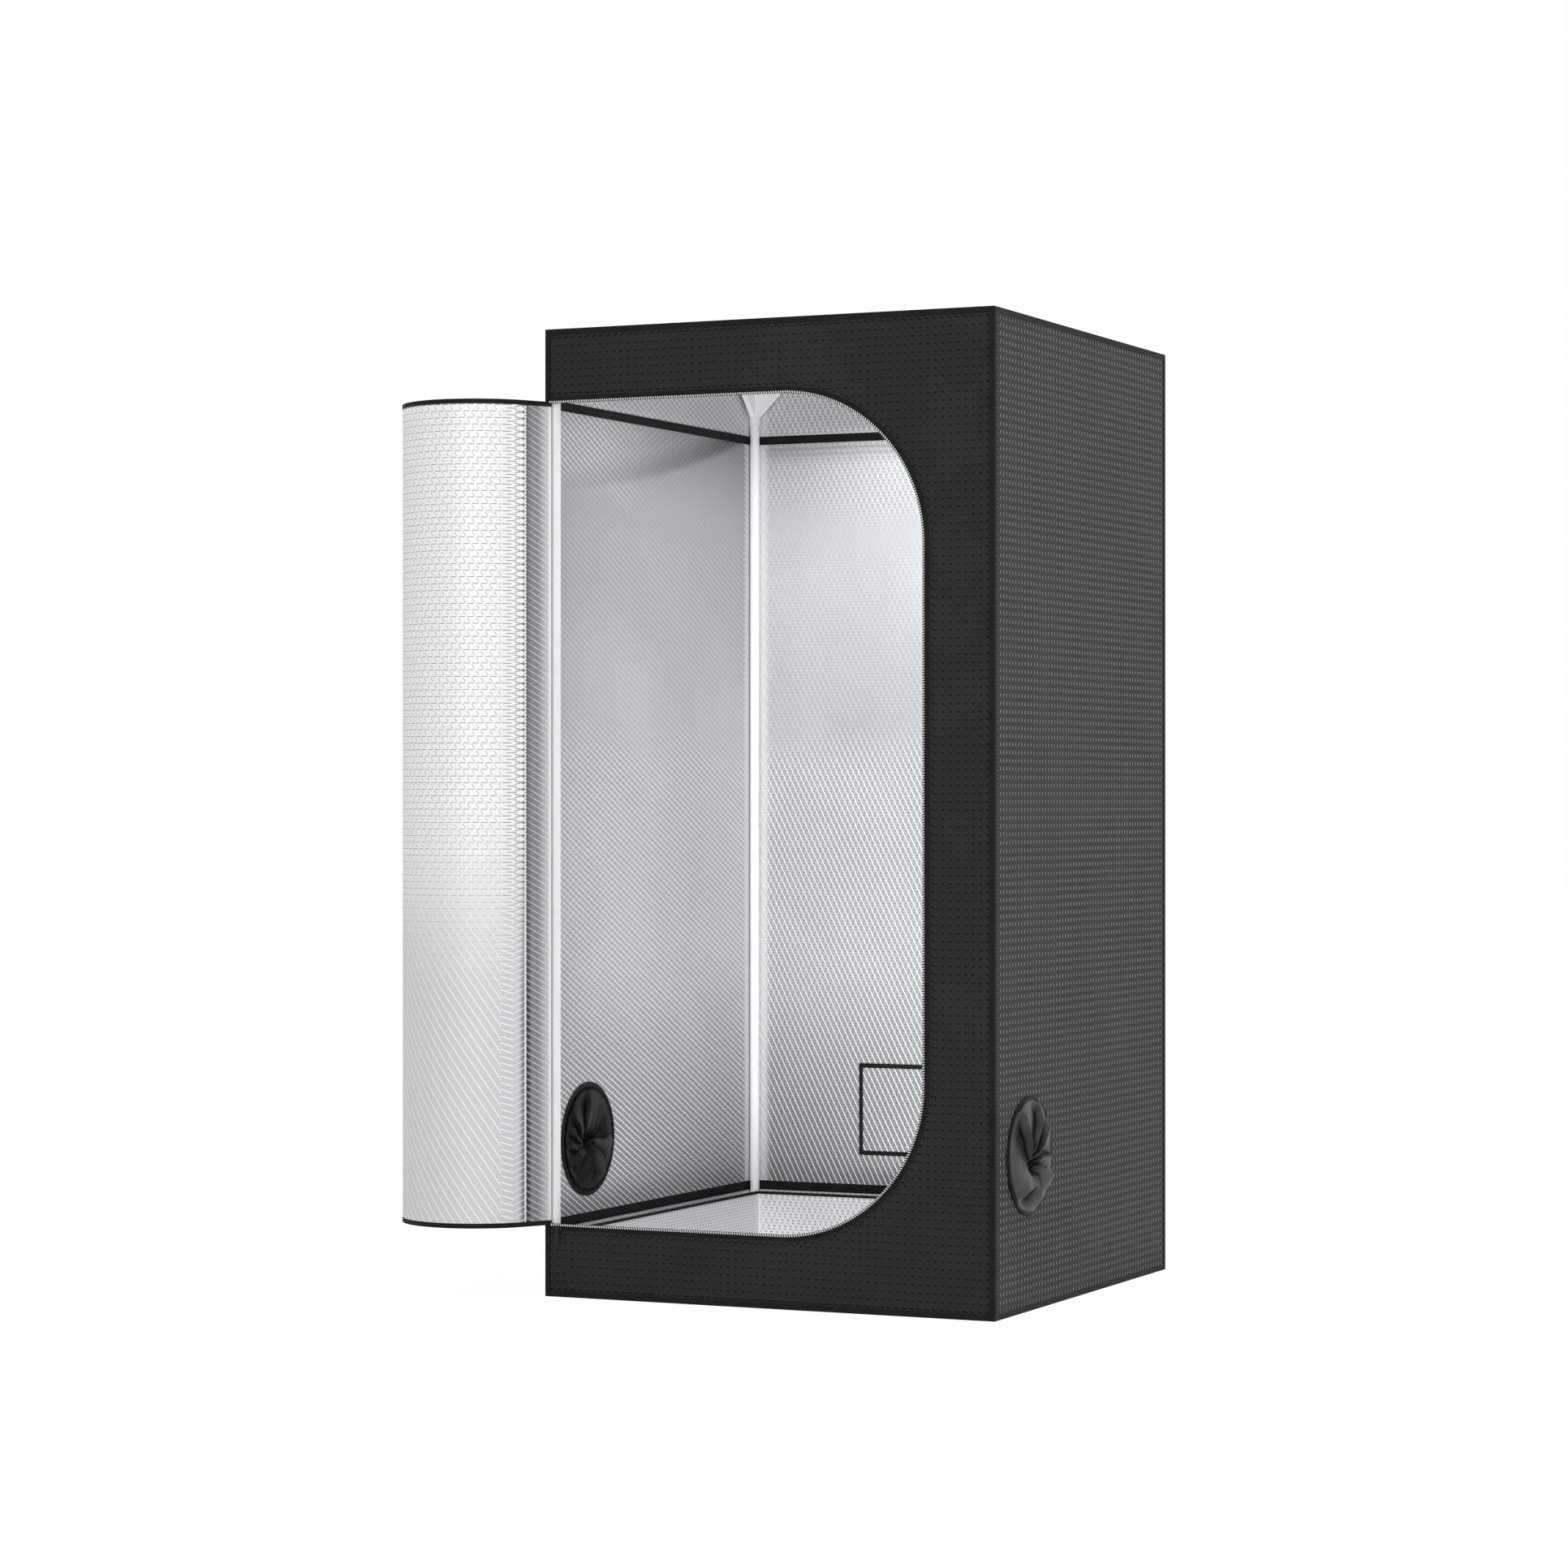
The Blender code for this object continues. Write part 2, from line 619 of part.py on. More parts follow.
def make_bars():
    """Two bars hang between the top side rails and slide along them."""
    reach = POLE_X - POLE_DIAMETER / 2 - SEAT_GAP - HOOK_STRAP - BAR_END_CLEARANCE
    left_hook = hook_mesh()
    right_hook = left_hook.copy()
    right_hook.transform(Matrix.Rotation(math.pi, 4, "Z"))
    for name, y in (("front", -BAR_FROM_MIDDLE), ("rear", BAR_FROM_MIDDLE)):
        mesh = tube_mesh("bar", BAR_DIAMETER / 2, BAR_WALL, -reach, reach, "X")
        bar = add_part(f"hanging_bar_{name}", mesh, "steel_white",
                       (0, y, POLE_HIGH - BAR_DROP))
        for side, x, hook in (("left", -POLE_X, left_hook), ("right", POLE_X, right_hook)):
            add_part(f"bar_hook_{name}_{side}", hook.copy(), "steel_white",
                     (x, 0, BAR_DROP), bar)


# Zip slider

def make_slider():
    """Slider on the sill's zip tape with a pull tab on a pin, origin on the pin."""
    knuckle = PIN_DIAMETER / 2 + SEAT_GAP + KNUCKLE_WALL
    pin_out = knuckle + SEAT_GAP
    top = SLIDER_HEIGHT / 2
    body = box_mesh("slider", (-SLIDER_LENGTH / 2, pin_out, -top),
                    (SLIDER_LENGTH / 2, pin_out + SLIDER_THICKNESS, top))
    lug_near = KNUCKLE_WIDTH / 2 + SEAT_GAP
    lug_far = lug_near + LUG_WIDTH
    lug_depth = PIN_DIAMETER / 2 + LUG_WIDTH / 2
    pieces = []
    for low, high in ((-lug_far, -lug_near), (lug_near, lug_far)):
        pieces.append(box_mesh("lug", (low, -lug_depth, -LUG_HEIGHT / 2),
                               (high, pin_out + SLIDER_BEVEL, LUG_HEIGHT / 2)))
    middle = (lug_near + lug_far) / 2
    pieces.append(rod_mesh("pin", PIN_DIAMETER / 2, -middle, middle, "X", PIN_SIDES))
    mesh = combine(bevelled(body, SLIDER_BEVEL), pieces, "UNION")
    x = OPENING_LEFT + SLIDER_FROM_HINGE
    y = FRONT_Y - SEAT_GAP - SLIDER_THICKNESS - pin_out
    z = OPENING_LOW + SLIDER_OVER_SILL - SLIDER_HEIGHT / 2
    slider = add_part("zip_slider", mesh, "zip_metal", (x, y, z))
    half = TAB_WIDTH / 2
    plate = [(-KNUCKLE_WIDTH / 2, 0), (-KNUCKLE_WIDTH / 2, -2 * knuckle),
             (-half, -2 * knuckle - half), (-half, -TAB_LENGTH + half / 2),
             (-half / 2, -TAB_LENGTH), (half / 2, -TAB_LENGTH),
             (half, -TAB_LENGTH + half / 2), (half, -2 * knuckle - half),
             (KNUCKLE_WIDTH / 2, -2 * knuckle), (KNUCKLE_WIDTH / 2, 0)]
    tab = flat_mesh("tab", [plate], TAB_THICKNESS, FRONT)
    width = KNUCKLE_WIDTH / 2
    eye = rod_mesh("eye", knuckle, -width, width, "X", PIN_SIDES)
    hole = rod_mesh("hole", PIN_DIAMETER / 2 + SEAT_GAP, -width - CUT_OVERRUN,
                    width + CUT_OVERRUN, "X", PIN_SIDES)
    pull = combine(combine(tab, [eye], "UNION"), [hole], "DIFFERENCE")
    add_part("zip_pull_tab", pull, "zip_metal", (0, 0, 0), slider)


def bevelled(mesh, width):
    shape = bmesh.new()
    shape.from_mesh(mesh)
    bmesh.ops.bevel(shape, geom=shape.edges, offset=width, segments=1,
                    affect="EDGES", clamp_overlap=True)
    shape.to_mesh(mesh)
    shape.free()
    return mesh


clear_scene()
tent = make_collection("grow_tent")
cutters = make_collection("cutters")
finishes = make_finishes()
make_poles()
make_corners()
make_skin()
make_tray()
make_door()
make_ports()
make_vent()
make_bars()
make_slider()
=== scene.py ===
"""Looks of the indoor grow tent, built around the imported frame.

Every cloth panel, tape, seam, stitch and gathered sock is made here, with its own finish.
Poles, rails and hanging bars are made again as rounder tubes. Corner fittings, bar hooks,
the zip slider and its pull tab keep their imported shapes.
All lengths are in metres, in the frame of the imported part.
"""

import json
import math
from itertools import product

import bpy
import numpy as np
from mathutils import Matrix, Vector

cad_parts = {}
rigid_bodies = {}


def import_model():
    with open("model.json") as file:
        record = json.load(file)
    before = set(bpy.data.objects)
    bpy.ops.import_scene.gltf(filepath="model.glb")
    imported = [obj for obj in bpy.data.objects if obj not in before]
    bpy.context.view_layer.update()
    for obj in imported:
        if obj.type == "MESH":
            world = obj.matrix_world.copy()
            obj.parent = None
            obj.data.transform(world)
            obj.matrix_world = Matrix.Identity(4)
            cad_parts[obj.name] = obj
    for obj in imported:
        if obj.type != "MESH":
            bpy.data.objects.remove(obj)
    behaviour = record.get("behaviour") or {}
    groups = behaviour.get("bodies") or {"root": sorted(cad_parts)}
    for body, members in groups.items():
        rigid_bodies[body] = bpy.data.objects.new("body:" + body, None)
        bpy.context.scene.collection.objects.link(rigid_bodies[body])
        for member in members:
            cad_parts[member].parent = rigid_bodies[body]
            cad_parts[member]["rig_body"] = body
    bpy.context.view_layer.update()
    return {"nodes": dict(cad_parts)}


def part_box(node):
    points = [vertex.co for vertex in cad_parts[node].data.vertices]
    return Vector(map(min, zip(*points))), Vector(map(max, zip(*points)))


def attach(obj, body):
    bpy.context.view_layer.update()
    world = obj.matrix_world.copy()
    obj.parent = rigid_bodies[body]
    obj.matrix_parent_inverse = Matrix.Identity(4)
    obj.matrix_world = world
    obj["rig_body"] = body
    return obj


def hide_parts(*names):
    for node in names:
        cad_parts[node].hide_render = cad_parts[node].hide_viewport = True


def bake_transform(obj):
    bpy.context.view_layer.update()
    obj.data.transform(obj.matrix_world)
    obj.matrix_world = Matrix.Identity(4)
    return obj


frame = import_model()

# Tent over the cloth
WIDTH = 0.800
DEPTH = 0.800
HEIGHT = 1.600
HALF = WIDTH / 2
CLOTH = 0.002
SKIN = HALF - CLOTH
UPPER_TAPE = (1.4705, 1.4854)
LOWER_TAPE = (0.1095, 0.1260)

# Door opening and the roll of the open door
OPENING_LEFT = -0.3925
OPENING_RIGHT = 0.282
OPENING_LOW = 0.117
OPENING_HIGH = 1.482
OPENING_RADIUS = 0.252
ZIP_GAP = 0.002
HINGE = (-0.3905, -0.399)
DOOR_WIDTH = 0.669
DOOR_LOW = OPENING_LOW + ZIP_GAP
DOOR_HIGH = OPENING_HIGH - ZIP_GAP
STRIP_COUNT = 12
STRIP = DOOR_WIDTH / STRIP_COUNT
LEAVE = math.radians(117.5)
FOLD = math.radians(277.0 / (STRIP_COUNT - 1))
ROLL_RADIUS = STRIP / (2 * math.sin(FOLD / 2))
CORNER_RADIUS = OPENING_RADIUS - ZIP_GAP

# Runs of the zip round the opening: along the top and the sill, down the side, each corner
LEVEL_RUN = OPENING_RIGHT - OPENING_RADIUS - OPENING_LEFT
SIDE_RUN = OPENING_HIGH - OPENING_LOW - 2 * OPENING_RADIUS
CORNER_RUN = OPENING_RADIUS * math.pi / 2
ZIP_LENGTH = 2 * LEVEL_RUN + SIDE_RUN + 2 * CORNER_RUN

# Poles and their fittings
POLE_RADIUS = 0.0085
BAR_RADIUS = 0.0080
POLE_INSET = 0.0121
SLEEVE_RADIUS = 0.0098
SLEEVE_REACH = 0.093
GUSSET_LEG = 0.0769 - 0.0036
GUSSET_THICKNESS = 0.009

# Ports and vent
PORT_RADIUS = 0.0925
PORT_RIM = 0.096
PORT_Y = -0.254
PORT_Z = 0.250
ROOF_PORT = (-0.180, 0.180)
FLAP_HALF = 0.183
FLAP_LOW = 0.180
FLAP_HIGH = 0.345
FLAP_MIDDLE = (FLAP_LOW + FLAP_HIGH) / 2
FLAP_TALL = FLAP_HIGH - FLAP_LOW
WINDOW_BORDER = 0.008
SEAT_GAP = 0.0003
RIM_THICKNESS = 0.002

# Cloth detail
DIMPLE_PITCH = 0.013
BINDING_WIDTH = 0.0095
BINDING_PROUD = 0.0008
STITCH_INSET = 0.0130
TAPE_WIDTH = 0.0072
RING_PROUD = 0.0004
RIBBON_STEP = 0.006
TOOTH_PITCH = 0.00425
TOOTH_TURN = math.radians(28)
LATTICE = 0.0109
DOOR_SEAM = 0.0520
DOOR_CREASE = 0.0960

# Directions and turns
SIDES = (-1, 1)
RIGHT = (1, 0, 0)
BACK = (0, 1, 0)
UP = (0, 0, 1)
QUARTER = math.pi / 2
AXIS_TURNS = {"X": (0, QUARTER, 0), "Y": (QUARTER, 0, 0), "Z": (0, 0, 0)}
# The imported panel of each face, the way out of it and its two directions
FACES = {"front": ("front_panel", (0, -1, 0), RIGHT, UP), "back": ("back_wall", BACK, RIGHT, UP),
         "left": ("left_wall", (-1, 0, 0), BACK, UP), "right": ("right_wall", RIGHT, BACK, UP),
         "roof": ("roof_panel", UP, RIGHT, BACK), "floor": ("floor_panel", (0, 0, -1), RIGHT, BACK)}
CORNERS = [(x, y, z, up) for x in SIDES for y in SIDES
           for z, up in ((POLE_INSET, 1), (HEIGHT - POLE_INSET, -1))]


# Node helpers

class Wire:
    """A node's output. Arithmetic on it adds maths nodes to the same tree."""

    def __init__(self, socket):
        self.socket = socket

    def __add__(self, other):
        return maths("ADD", self, other)

    def __sub__(self, other):
        return maths("SUBTRACT", self, other)

    def __rsub__(self, other):
        return maths("SUBTRACT", other, self)

    def __mul__(self, other):
        return maths("MULTIPLY", self, other)

    def __truediv__(self, other):
        return maths("DIVIDE", self, other)

    def __abs__(self):
        return maths("ABSOLUTE", self)


def connect(value, slot):
    """Links a wire to a slot, or sets the slot to a number or a colour."""
    if isinstance(value, Wire):
        slot.id_data.links.new(value.socket, slot)
    elif isinstance(value, tuple):
        slot.default_value = (*value, 1.0)
    else:
        slot.default_value = value


def add_node(kind, output, inputs, tree=None, **settings):
    """A node with its inputs joined up, in the tree that they come from."""
    wires = [value for value in inputs.values() if isinstance(value, Wire)]
    tree = tree or wires[0].socket.id_data
    node = tree.nodes.new(f"ShaderNode{kind}")
    for name, value in settings.items():
        setattr(node, name, value)
    for slot, value in inputs.items():
        connect(value, node.inputs[slot])
    return Wire(node.outputs[output])


def maths(operation, *values):
    return add_node("Math", 0, dict(enumerate(values)), operation=operation)


def most(first, *others):
    for other in others:
        first = maths("MAXIMUM", first, other)
    return first


def least(first, *others):
    for other in others:
        first = maths("MINIMUM", first, other)
    return first


def ramp(value, low, high):
    """0 where value is at low or beyond it, 1 at high, smooth between."""
    return add_node("MapRange", "Result", {"Value": value, "From Min": low, "From Max": high},
                    interpolation_type="SMOOTHSTEP")


def span(value, start, full, fade, stop):
    """1 between full and fade, 0 before start and after stop."""
    return ramp(value, start, full) * ramp(value, stop, fade)


def mix(share, first, second):
    """The first colour where share is 0, the second where it is 1."""
    return add_node("Mix", 2, {"Factor": share, 6: first, 7: second}, data_type="RGBA")


def paint(colour, *coats):
    """Lays coats over a colour, each given as its share and its colour."""
    for share, coat in coats:
        colour = mix(share, colour, coat)
    return colour


def grey(level):
    return level, level, level


def noise(places, scale, detail=2.0):
    return add_node("TexNoise", "Fac", {"Vector": places, "Scale": scale, "Detail": detail})


def bump(height, distance, strength, under=None):
    inputs = {"Height": height, "Distance": distance, "Strength": strength}
    if under:
        inputs["Normal"] = under
    return add_node("Bump", "Normal", inputs)


def parts(places):
    """The three parts of a place, in metres."""
    split = add_node("SeparateXYZ", 0, {0: places}).socket.node
    return [Wire(part) for part in split.outputs]


def near_line(value):
    """0 on each whole number and 0.5 halfway between two."""
    return 0.5 - abs(maths("FRACT", value) - 0.5)


def shader_of(material):
    return material.node_tree.nodes["Principled BSDF"]


def new_material(name, roughness, metallic=0.0, specular=0.5):
    """A material with its places on the cloth (its UV map) and in the tent."""
    material = bpy.data.materials.new(name)
    material.use_nodes = True
    inputs = shader_of(material).inputs
    connect(roughness, inputs["Roughness"])
    connect(metallic, inputs["Metallic"])
    connect(specular, inputs["Specular IOR Level"])
    places = material.node_tree.nodes.new("ShaderNodeTexCoord").outputs
    return material, Wire(places["UV"]), Wire(places["Object"])


def finished(material, colour, normal=None):
    """The material with its colour and its relief joined up."""
    connect(colour, shader_of(material).inputs["Base Color"])
    if normal:
        connect(normal, shader_of(material).inputs["Normal"])
    return material


def new_object(name, data):
    piece = bpy.data.objects.new(name, data)
    bpy.context.scene.collection.objects.link(piece)
    return piece


# Camera, light and floor

AMBIENT = 0.60
# Name, place, target, size and power
SOFTBOXES = (
    ("key_right", (3.6, 0.2, 1.9), (0.4, 0.0, 0.8), (2.4, 2.4), 70),
    ("fill_front", (0.9, -4.4, 2.2), (-0.3, -0.4, 0.8), (2.6, 2.6), 46),
    ("inside_top", (0.0, 0.02, 1.50), (0.0, 0.02, 0.0), (0.56, 0.56), 2.4),
    ("inside_low", (0.0, 0.02, 0.14), (0.0, 0.02, 1.60), (0.50, 0.50), 2.1),
    ("inside_corner", (0.10, -0.12, 1.36), (-0.39, 0.39, 1.58), (0.3, 0.3), 0.25),
    ("inside_front", (0.02, -0.36, 0.80), (-0.06, 0.4, 0.80), (0.5, 1.25), 2.7))


def place_camera():
    camera_data = bpy.data.cameras.new("camera")
    camera_data.lens = 95.0
    camera_data.sensor_width = 36.0
    camera_data.shift_y = 0.00866
    camera = new_object("camera", camera_data)
    camera.location = (2.8313, -6.4565, 0.8257)
    camera.rotation_euler = (math.radians(90), 0, math.radians(24.785))
    bpy.context.scene.camera = camera


def add_softbox(name, place, target, size, power):
    light_data = bpy.data.lights.new(name, "AREA")
    light_data.shape = "RECTANGLE"
    light_data.size, light_data.size_y = size
    light_data.energy = power
    light = new_object(name, light_data)
    light.location = place
    aim = Vector(target) - Vector(place)
    light.rotation_euler = aim.to_track_quat("-Z", "Y").to_euler()
    light.visible_camera = False


def light_studio():
    """Softboxes, and a white backdrop that lights the tent less than it shows."""
    for softbox in SOFTBOXES:
        add_softbox(*softbox)
    world = bpy.data.worlds.new("studio")
    bpy.context.scene.world = world
    world.use_nodes = True
    tree = world.node_tree
    tree.nodes.clear()
    rays = tree.nodes.new("ShaderNodeLightPath").outputs
    seen = most(Wire(rays["Is Camera Ray"]), Wire(rays["Is Transmission Ray"]),
                Wire(rays["Is Glossy Ray"]) * 0.75)
    strength = seen * (1.0 - AMBIENT) + AMBIENT
    background = add_node("Background", 0, {"Color": (1, 1, 1), "Strength": strength})
    connect(background, tree.nodes.new("ShaderNodeOutputWorld").inputs["Surface"])


def lay_floor():
    """White floor that takes the tent's shadow and shows almost as bright as the backdrop."""
    bpy.ops.mesh.primitive_plane_add(size=60, location=(0, 0, -0.0006))
    floor = bpy.context.object
    floor.name = "studio_floor"
    material = new_material("studio_floor", 0.9, 0.0, 0.1)[0]
    tree = material.node_tree
    shader = shader_of(material)
    connect(grey(0.9), shader.inputs["Base Color"])
    glow = add_node("Emission", 0, {"Color": (1, 1, 1), "Strength": 1.06}, tree)
    rays = tree.nodes.new("ShaderNodeLightPath").outputs
    seen = most(Wire(rays["Is Camera Ray"]), Wire(rays["Is Glossy Ray"]))
    blend = add_node("MixShader", 0, {0: seen * 0.90, 1: Wire(shader.outputs[0]), 2: glow})
    connect(blend, tree.nodes["Material Output"].inputs["Surface"])
    floor.data.materials.append(material)


# Materials

def grid_spots(across, up, shift, wide, tall):
    """1 inside a small oval at each crossing of the dimple grid, 0 outside it."""
    a, b = [near_line(value / DIMPLE_PITCH) * (DIMPLE_PITCH / half)
            for value, half in ((across, wide), (up + shift, tall))]
    return ramp(maths("SQRT", a * a + b * b), 1.3, 0.5)


def dimpled_cloth(name, dark, light, shades):
    """Black coated cloth pressed with a square grid of bumps, each with a painted shaded side and a
    painted highlight on its lit side.

    dark and light give each painted side's shift and its two half widths, shades the cloth's
    darkest and lightest grey and the painted highlight colour of the lit sides.
    """
    material, cloth, solid = new_material(name, 0.70, 0.0, 0.14)
    across, up, _ = parts(cloth)
    uneven = ramp(noise(cloth, 60.0), 0.25, 0.55)
    # Painted shade on one side of each bump, and a painted highlight on its other side
    shaded = grid_spots(across, up, *dark) * (uneven * 0.5 + 0.5)
    lit = grid_spots(across, up, *light)
    grain = noise(solid, 420.0)
    worn = (noise(solid, 9.0, 3.0) + grain) * 0.5
    # raised is the painted highlight colour of the bumps' lit sides
    darkest, lightest, raised = [(level, level, level * 1.02) for level in shades]
    colour = paint(mix(ramp(worn, 0.3, 0.7), darkest, lightest), (lit, raised),
                   (shaded, grey(0.0012)))
    return finished(material, colour, bump(grain * 0.15 + (lit - shaded), 0.0006, 0.6))


def lattice(across, up, base, row):
    """Distances from the three families of lines: falling, rising and level."""
    rows = up / row
    columns = across / base
    lean = rows * 0.5
    return near_line(columns + lean), near_line(columns - lean), near_line(rows)


def lining_film():
    """Silver film embossed with a lattice, smooth in places, with painted shade beside the tapes,
    painted light and shade by wall and height, and painted light beside the corner poles.
    """
    material, cloth, solid = new_material("lining_film", 0.40, 0.45)
    across, up, _ = parts(cloth)
    x, y, z = parts(solid)
    falling, rising, level = lattice(across, up, LATTICE, LATTICE)
    half_rows = near_line(up / (LATTICE / 2))
    patchy = noise(solid, 5.0)
    height = z + (patchy * 0.10 - 0.05)
    behind = ramp(y, 0.388, 0.392)
    beside = ramp(y, 0.392, 0.388)
    over_tape = ramp(z, 1.484, 1.489)
    from_corner = 0.37 - y

    # Painted shade on the lattice: a wedge under the upper tape that runs down from the rear
    # corner, and a band on the back wall
    above = z - (from_corner * (from_corner * 0.155 - 0.300) + 1.472)
    wedge = span(above, -0.004, 0.012, 0.018, 0.055) * (from_corner * -1.15 + 0.95)
    band = ramp(z, 1.425, 1.462) * 0.55
    under_top = (wedge + (band - wedge) * behind) * ramp(z, 1.474, 1.470)
    # Painted shade under the upper tape and in a band just above the lower tape
    painted_shade_zone = most(under_top, span(z, 0.119, 0.123, 0.130, 0.175) * 0.45)

    # Where the lattice shows
    high_wall = ramp(height, 1.30, 1.38) * most(ramp(from_corner, 0.30, 0.62), behind)
    middle_wall = ramp(height, 1.33, 1.24) * 0.36
    shown = most(ramp(height, 1.02, 0.86), high_wall * 0.75, middle_wall, over_tape, 0.08)
    texture = most(shown, ramp(above, -0.03, 0.03))

    # Ground colour in random patches, with painted shade high on the side walls, lighter above the
    # tape, painted light high on the back wall, painted shade towards the foot, and painted light
    # on the tray
    base = mix(ramp(patchy, 0.35, 0.65), (0.470, 0.485, 0.495), (0.515, 0.530, 0.540))
    base = paint(base, (ramp(z, 0.95, 1.25) * beside, (0.348, 0.360, 0.368)),
                 (ramp(z, 1.30, 1.45) * beside, (0.262, 0.271, 0.277)),
                 (over_tape, (0.560, 0.575, 0.585)),
                 (ramp(z, 0.95, 1.25) * behind, (0.635, 0.650, 0.660)),
                 (ramp(z, 0.62, 0.16), (0.235, 0.245, 0.252)),
                 (ramp(z, 0.113, 0.110), (0.80, 0.815, 0.825)))

    # Lattice: dark cells, faint thin lines, dark lines in the painted shade near the tapes, bright
    # falling lines dimmed in the painted shade under the upper tape, and painted light beside the
    # corner poles
    cell = ramp(rising, 0.14, 0.34) * ramp(half_rows, 0.16, 0.36) * texture
    thin = least(rising, level)
    faint = ramp(thin, 0.10, 0.03) * (texture * 0.16)
    dark = ramp(least(thin, falling), 0.17, 0.06) * painted_shade_zone
    lit = ramp(falling, 0.14, 0.04) * shown * (under_top * -0.7 + 1.0)
    # glow is painted light: a lighter strip beside each corner pole
    glow = ramp(falling * 0.022 + least(abs(x), abs(y)), 0.368, 0.380)
    colour = paint(base, (cell * 0.55, (0.165, 0.172, 0.177)), (faint, (0.85, 0.86, 0.865)),
                   (dark * 0.95, (0.020, 0.021, 0.022)), (lit * 0.90, (0.96, 0.96, 0.965)),
                   (glow * 0.75, (0.80, 0.805, 0.81)))
    slack_waves = bump(noise(solid, 6.0, 1.0), 0.012, 0.3)
    return finished(material, colour, bump(thin * texture + lit * 0.5, 0.0006, 0.5, slack_waves))


def door_film():
    """The same film on the door, stretched smooth beyond its seam and first crease. Its ground
    carries painted light beyond the crease and painted shade between the hinge and the seam and low
    down.
    """
    material, cloth, _ = new_material("door_film", 0.50, 0.12)
    across, up, _ = parts(cloth)
    falling, rising, level = lattice(across, up, 0.0145, LATTICE)
    rows = up / LATTICE
    # Lower part of the door, where the lines change and the ground carries painted shade
    low = ramp(noise(cloth, 3.0, 1.0) * 0.2 + up, 0.92, 0.55)

    # From the hinge to the seam: grey painted shade where the film turns away, darkest beside the
    # seam, with pale falling lines
    slant = near_line(across * (-0.5 / LATTICE) + rows)
    pits = ramp(slant, 0.16, 0.34) * (ramp(across, 0.0390, 0.0450) * low)
    shown = ramp(slant, 0.13, 0.04) * ramp(across, DOOR_SEAM + 0.006, 0.030)
    near = mix(ramp(across, 0.008, 0.030), (0.52, 0.535, 0.545), (0.22, 0.23, 0.24))
    near = paint(near, (ramp(across, 0.036, DOOR_SEAM), (0.11, 0.115, 0.12)),
                 (pits * 0.95, grey(0.015)), (shown * 0.65, (0.80, 0.81, 0.82)),
                 (ramp(across, 0.010, 0.002), (0.85, 0.855, 0.86)))

    # Past the seam: grey teeth, then slanted strokes, then two columns of level dashes
    on_row = near_line(rows)
    off_row = near_line(rows + 0.5)
    taper = (0.0610 - across) * 46.0 - on_row
    tooth = ramp(taper, -0.03, 0.05)
    rim = tooth * ramp(taper, 0.16, 0.07)
    stroke = ramp(abs(on_row - (across - 0.0600) * 22.0), 0.11, 0.04)
    stroke = stroke * span(across, 0.0600, 0.0610, 0.0700, 0.0740)
    dash_one = ramp(off_row, 0.085, 0.035) * span(across, 0.0680, 0.0700, 0.0850, 0.0875)
    dash_two = ramp(on_row, 0.085, 0.035) * span(across, 0.0770, 0.0790, 0.0930, 0.0950)
    middle = paint(mix(tooth, grey(0.90), (0.28, 0.285, 0.29)),
                   (rim, (0.10, 0.105, 0.11)),
                   (most(dash_one, dash_two, stroke) * 0.90, (0.22, 0.225, 0.23)))

    # Low down the same zone has pale strokes that fall, then rise to the seam, on painted shade
    # that darkens towards the seam
    fall = near_line(across * -29.0 + rows)
    rise = near_line(across * 38.0 + (rows - 0.0755 * 67.0))
    past_bend = ramp(across, 0.0753, 0.0757)
    stroke = ramp(rise + (fall - rise) * past_bend, 0.13, 0.05)
    low_middle = mix(ramp(across, 0.0670, DOOR_SEAM), (0.63, 0.635, 0.64), (0.10, 0.105, 0.11))
    low_middle = mix(stroke * (past_bend * 0.4 + 0.6), low_middle, grey(0.96))
    middle = mix(low, middle, low_middle)

    # Beyond the crease: grey zigzags on white, and low down white falling lines on grey; the white
    # is painted light and the grey low down painted shade
    dashes = ramp(level, 0.085, 0.030) * ramp(falling, 0.10, 0.18)
    strokes = ramp(rising, 0.075, 0.028) * ramp(falling, 0.14, 0.24)
    lines = most(dashes, strokes * 0.75) * (low * -0.95 + 1.0)
    far = paint(mix(low, grey(0.94), (0.66, 0.665, 0.67)), (lines, (0.30, 0.31, 0.32)),
                (ramp(rising, 0.095, 0.035) * low, grey(0.97)))

    line = ramp(abs(across - DOOR_SEAM), 0.0020, 0.0013)
    stitch = most(ramp(near_line(up / (LATTICE / 2)), 0.12, 0.22), low * 0.7)
    colour = paint(near, (ramp(across, DOOR_SEAM - 0.0004, DOOR_SEAM + 0.0004), middle),
                   (ramp(across, DOOR_CREASE - 0.0003, DOOR_CREASE + 0.0003), far),
                   (line, mix(stitch, (0.35, 0.35, 0.36), grey(0.96))))
    return finished(material, colour, bump(least(falling, rising, level), 0.0005, 0.5))


def ribbed_tape(name, gloss):
    """Black woven tape with fine ribs."""
    material, _, solid = new_material(name, 0.66, 0.0, gloss)
    x, y, z = parts(solid)
    ribs = maths("SINE", (x + y + z) * 3800.0) + maths("SINE", (x - y - z) * 3800.0)
    worn = ramp(noise(solid, 30.0, 3.0), 0.35, 0.7)
    colour = mix(worn, (0.0085, 0.0085, 0.0088), (0.0125, 0.0125, 0.0130))
    return finished(material, colour, bump(ribs, 0.00012, 0.6))


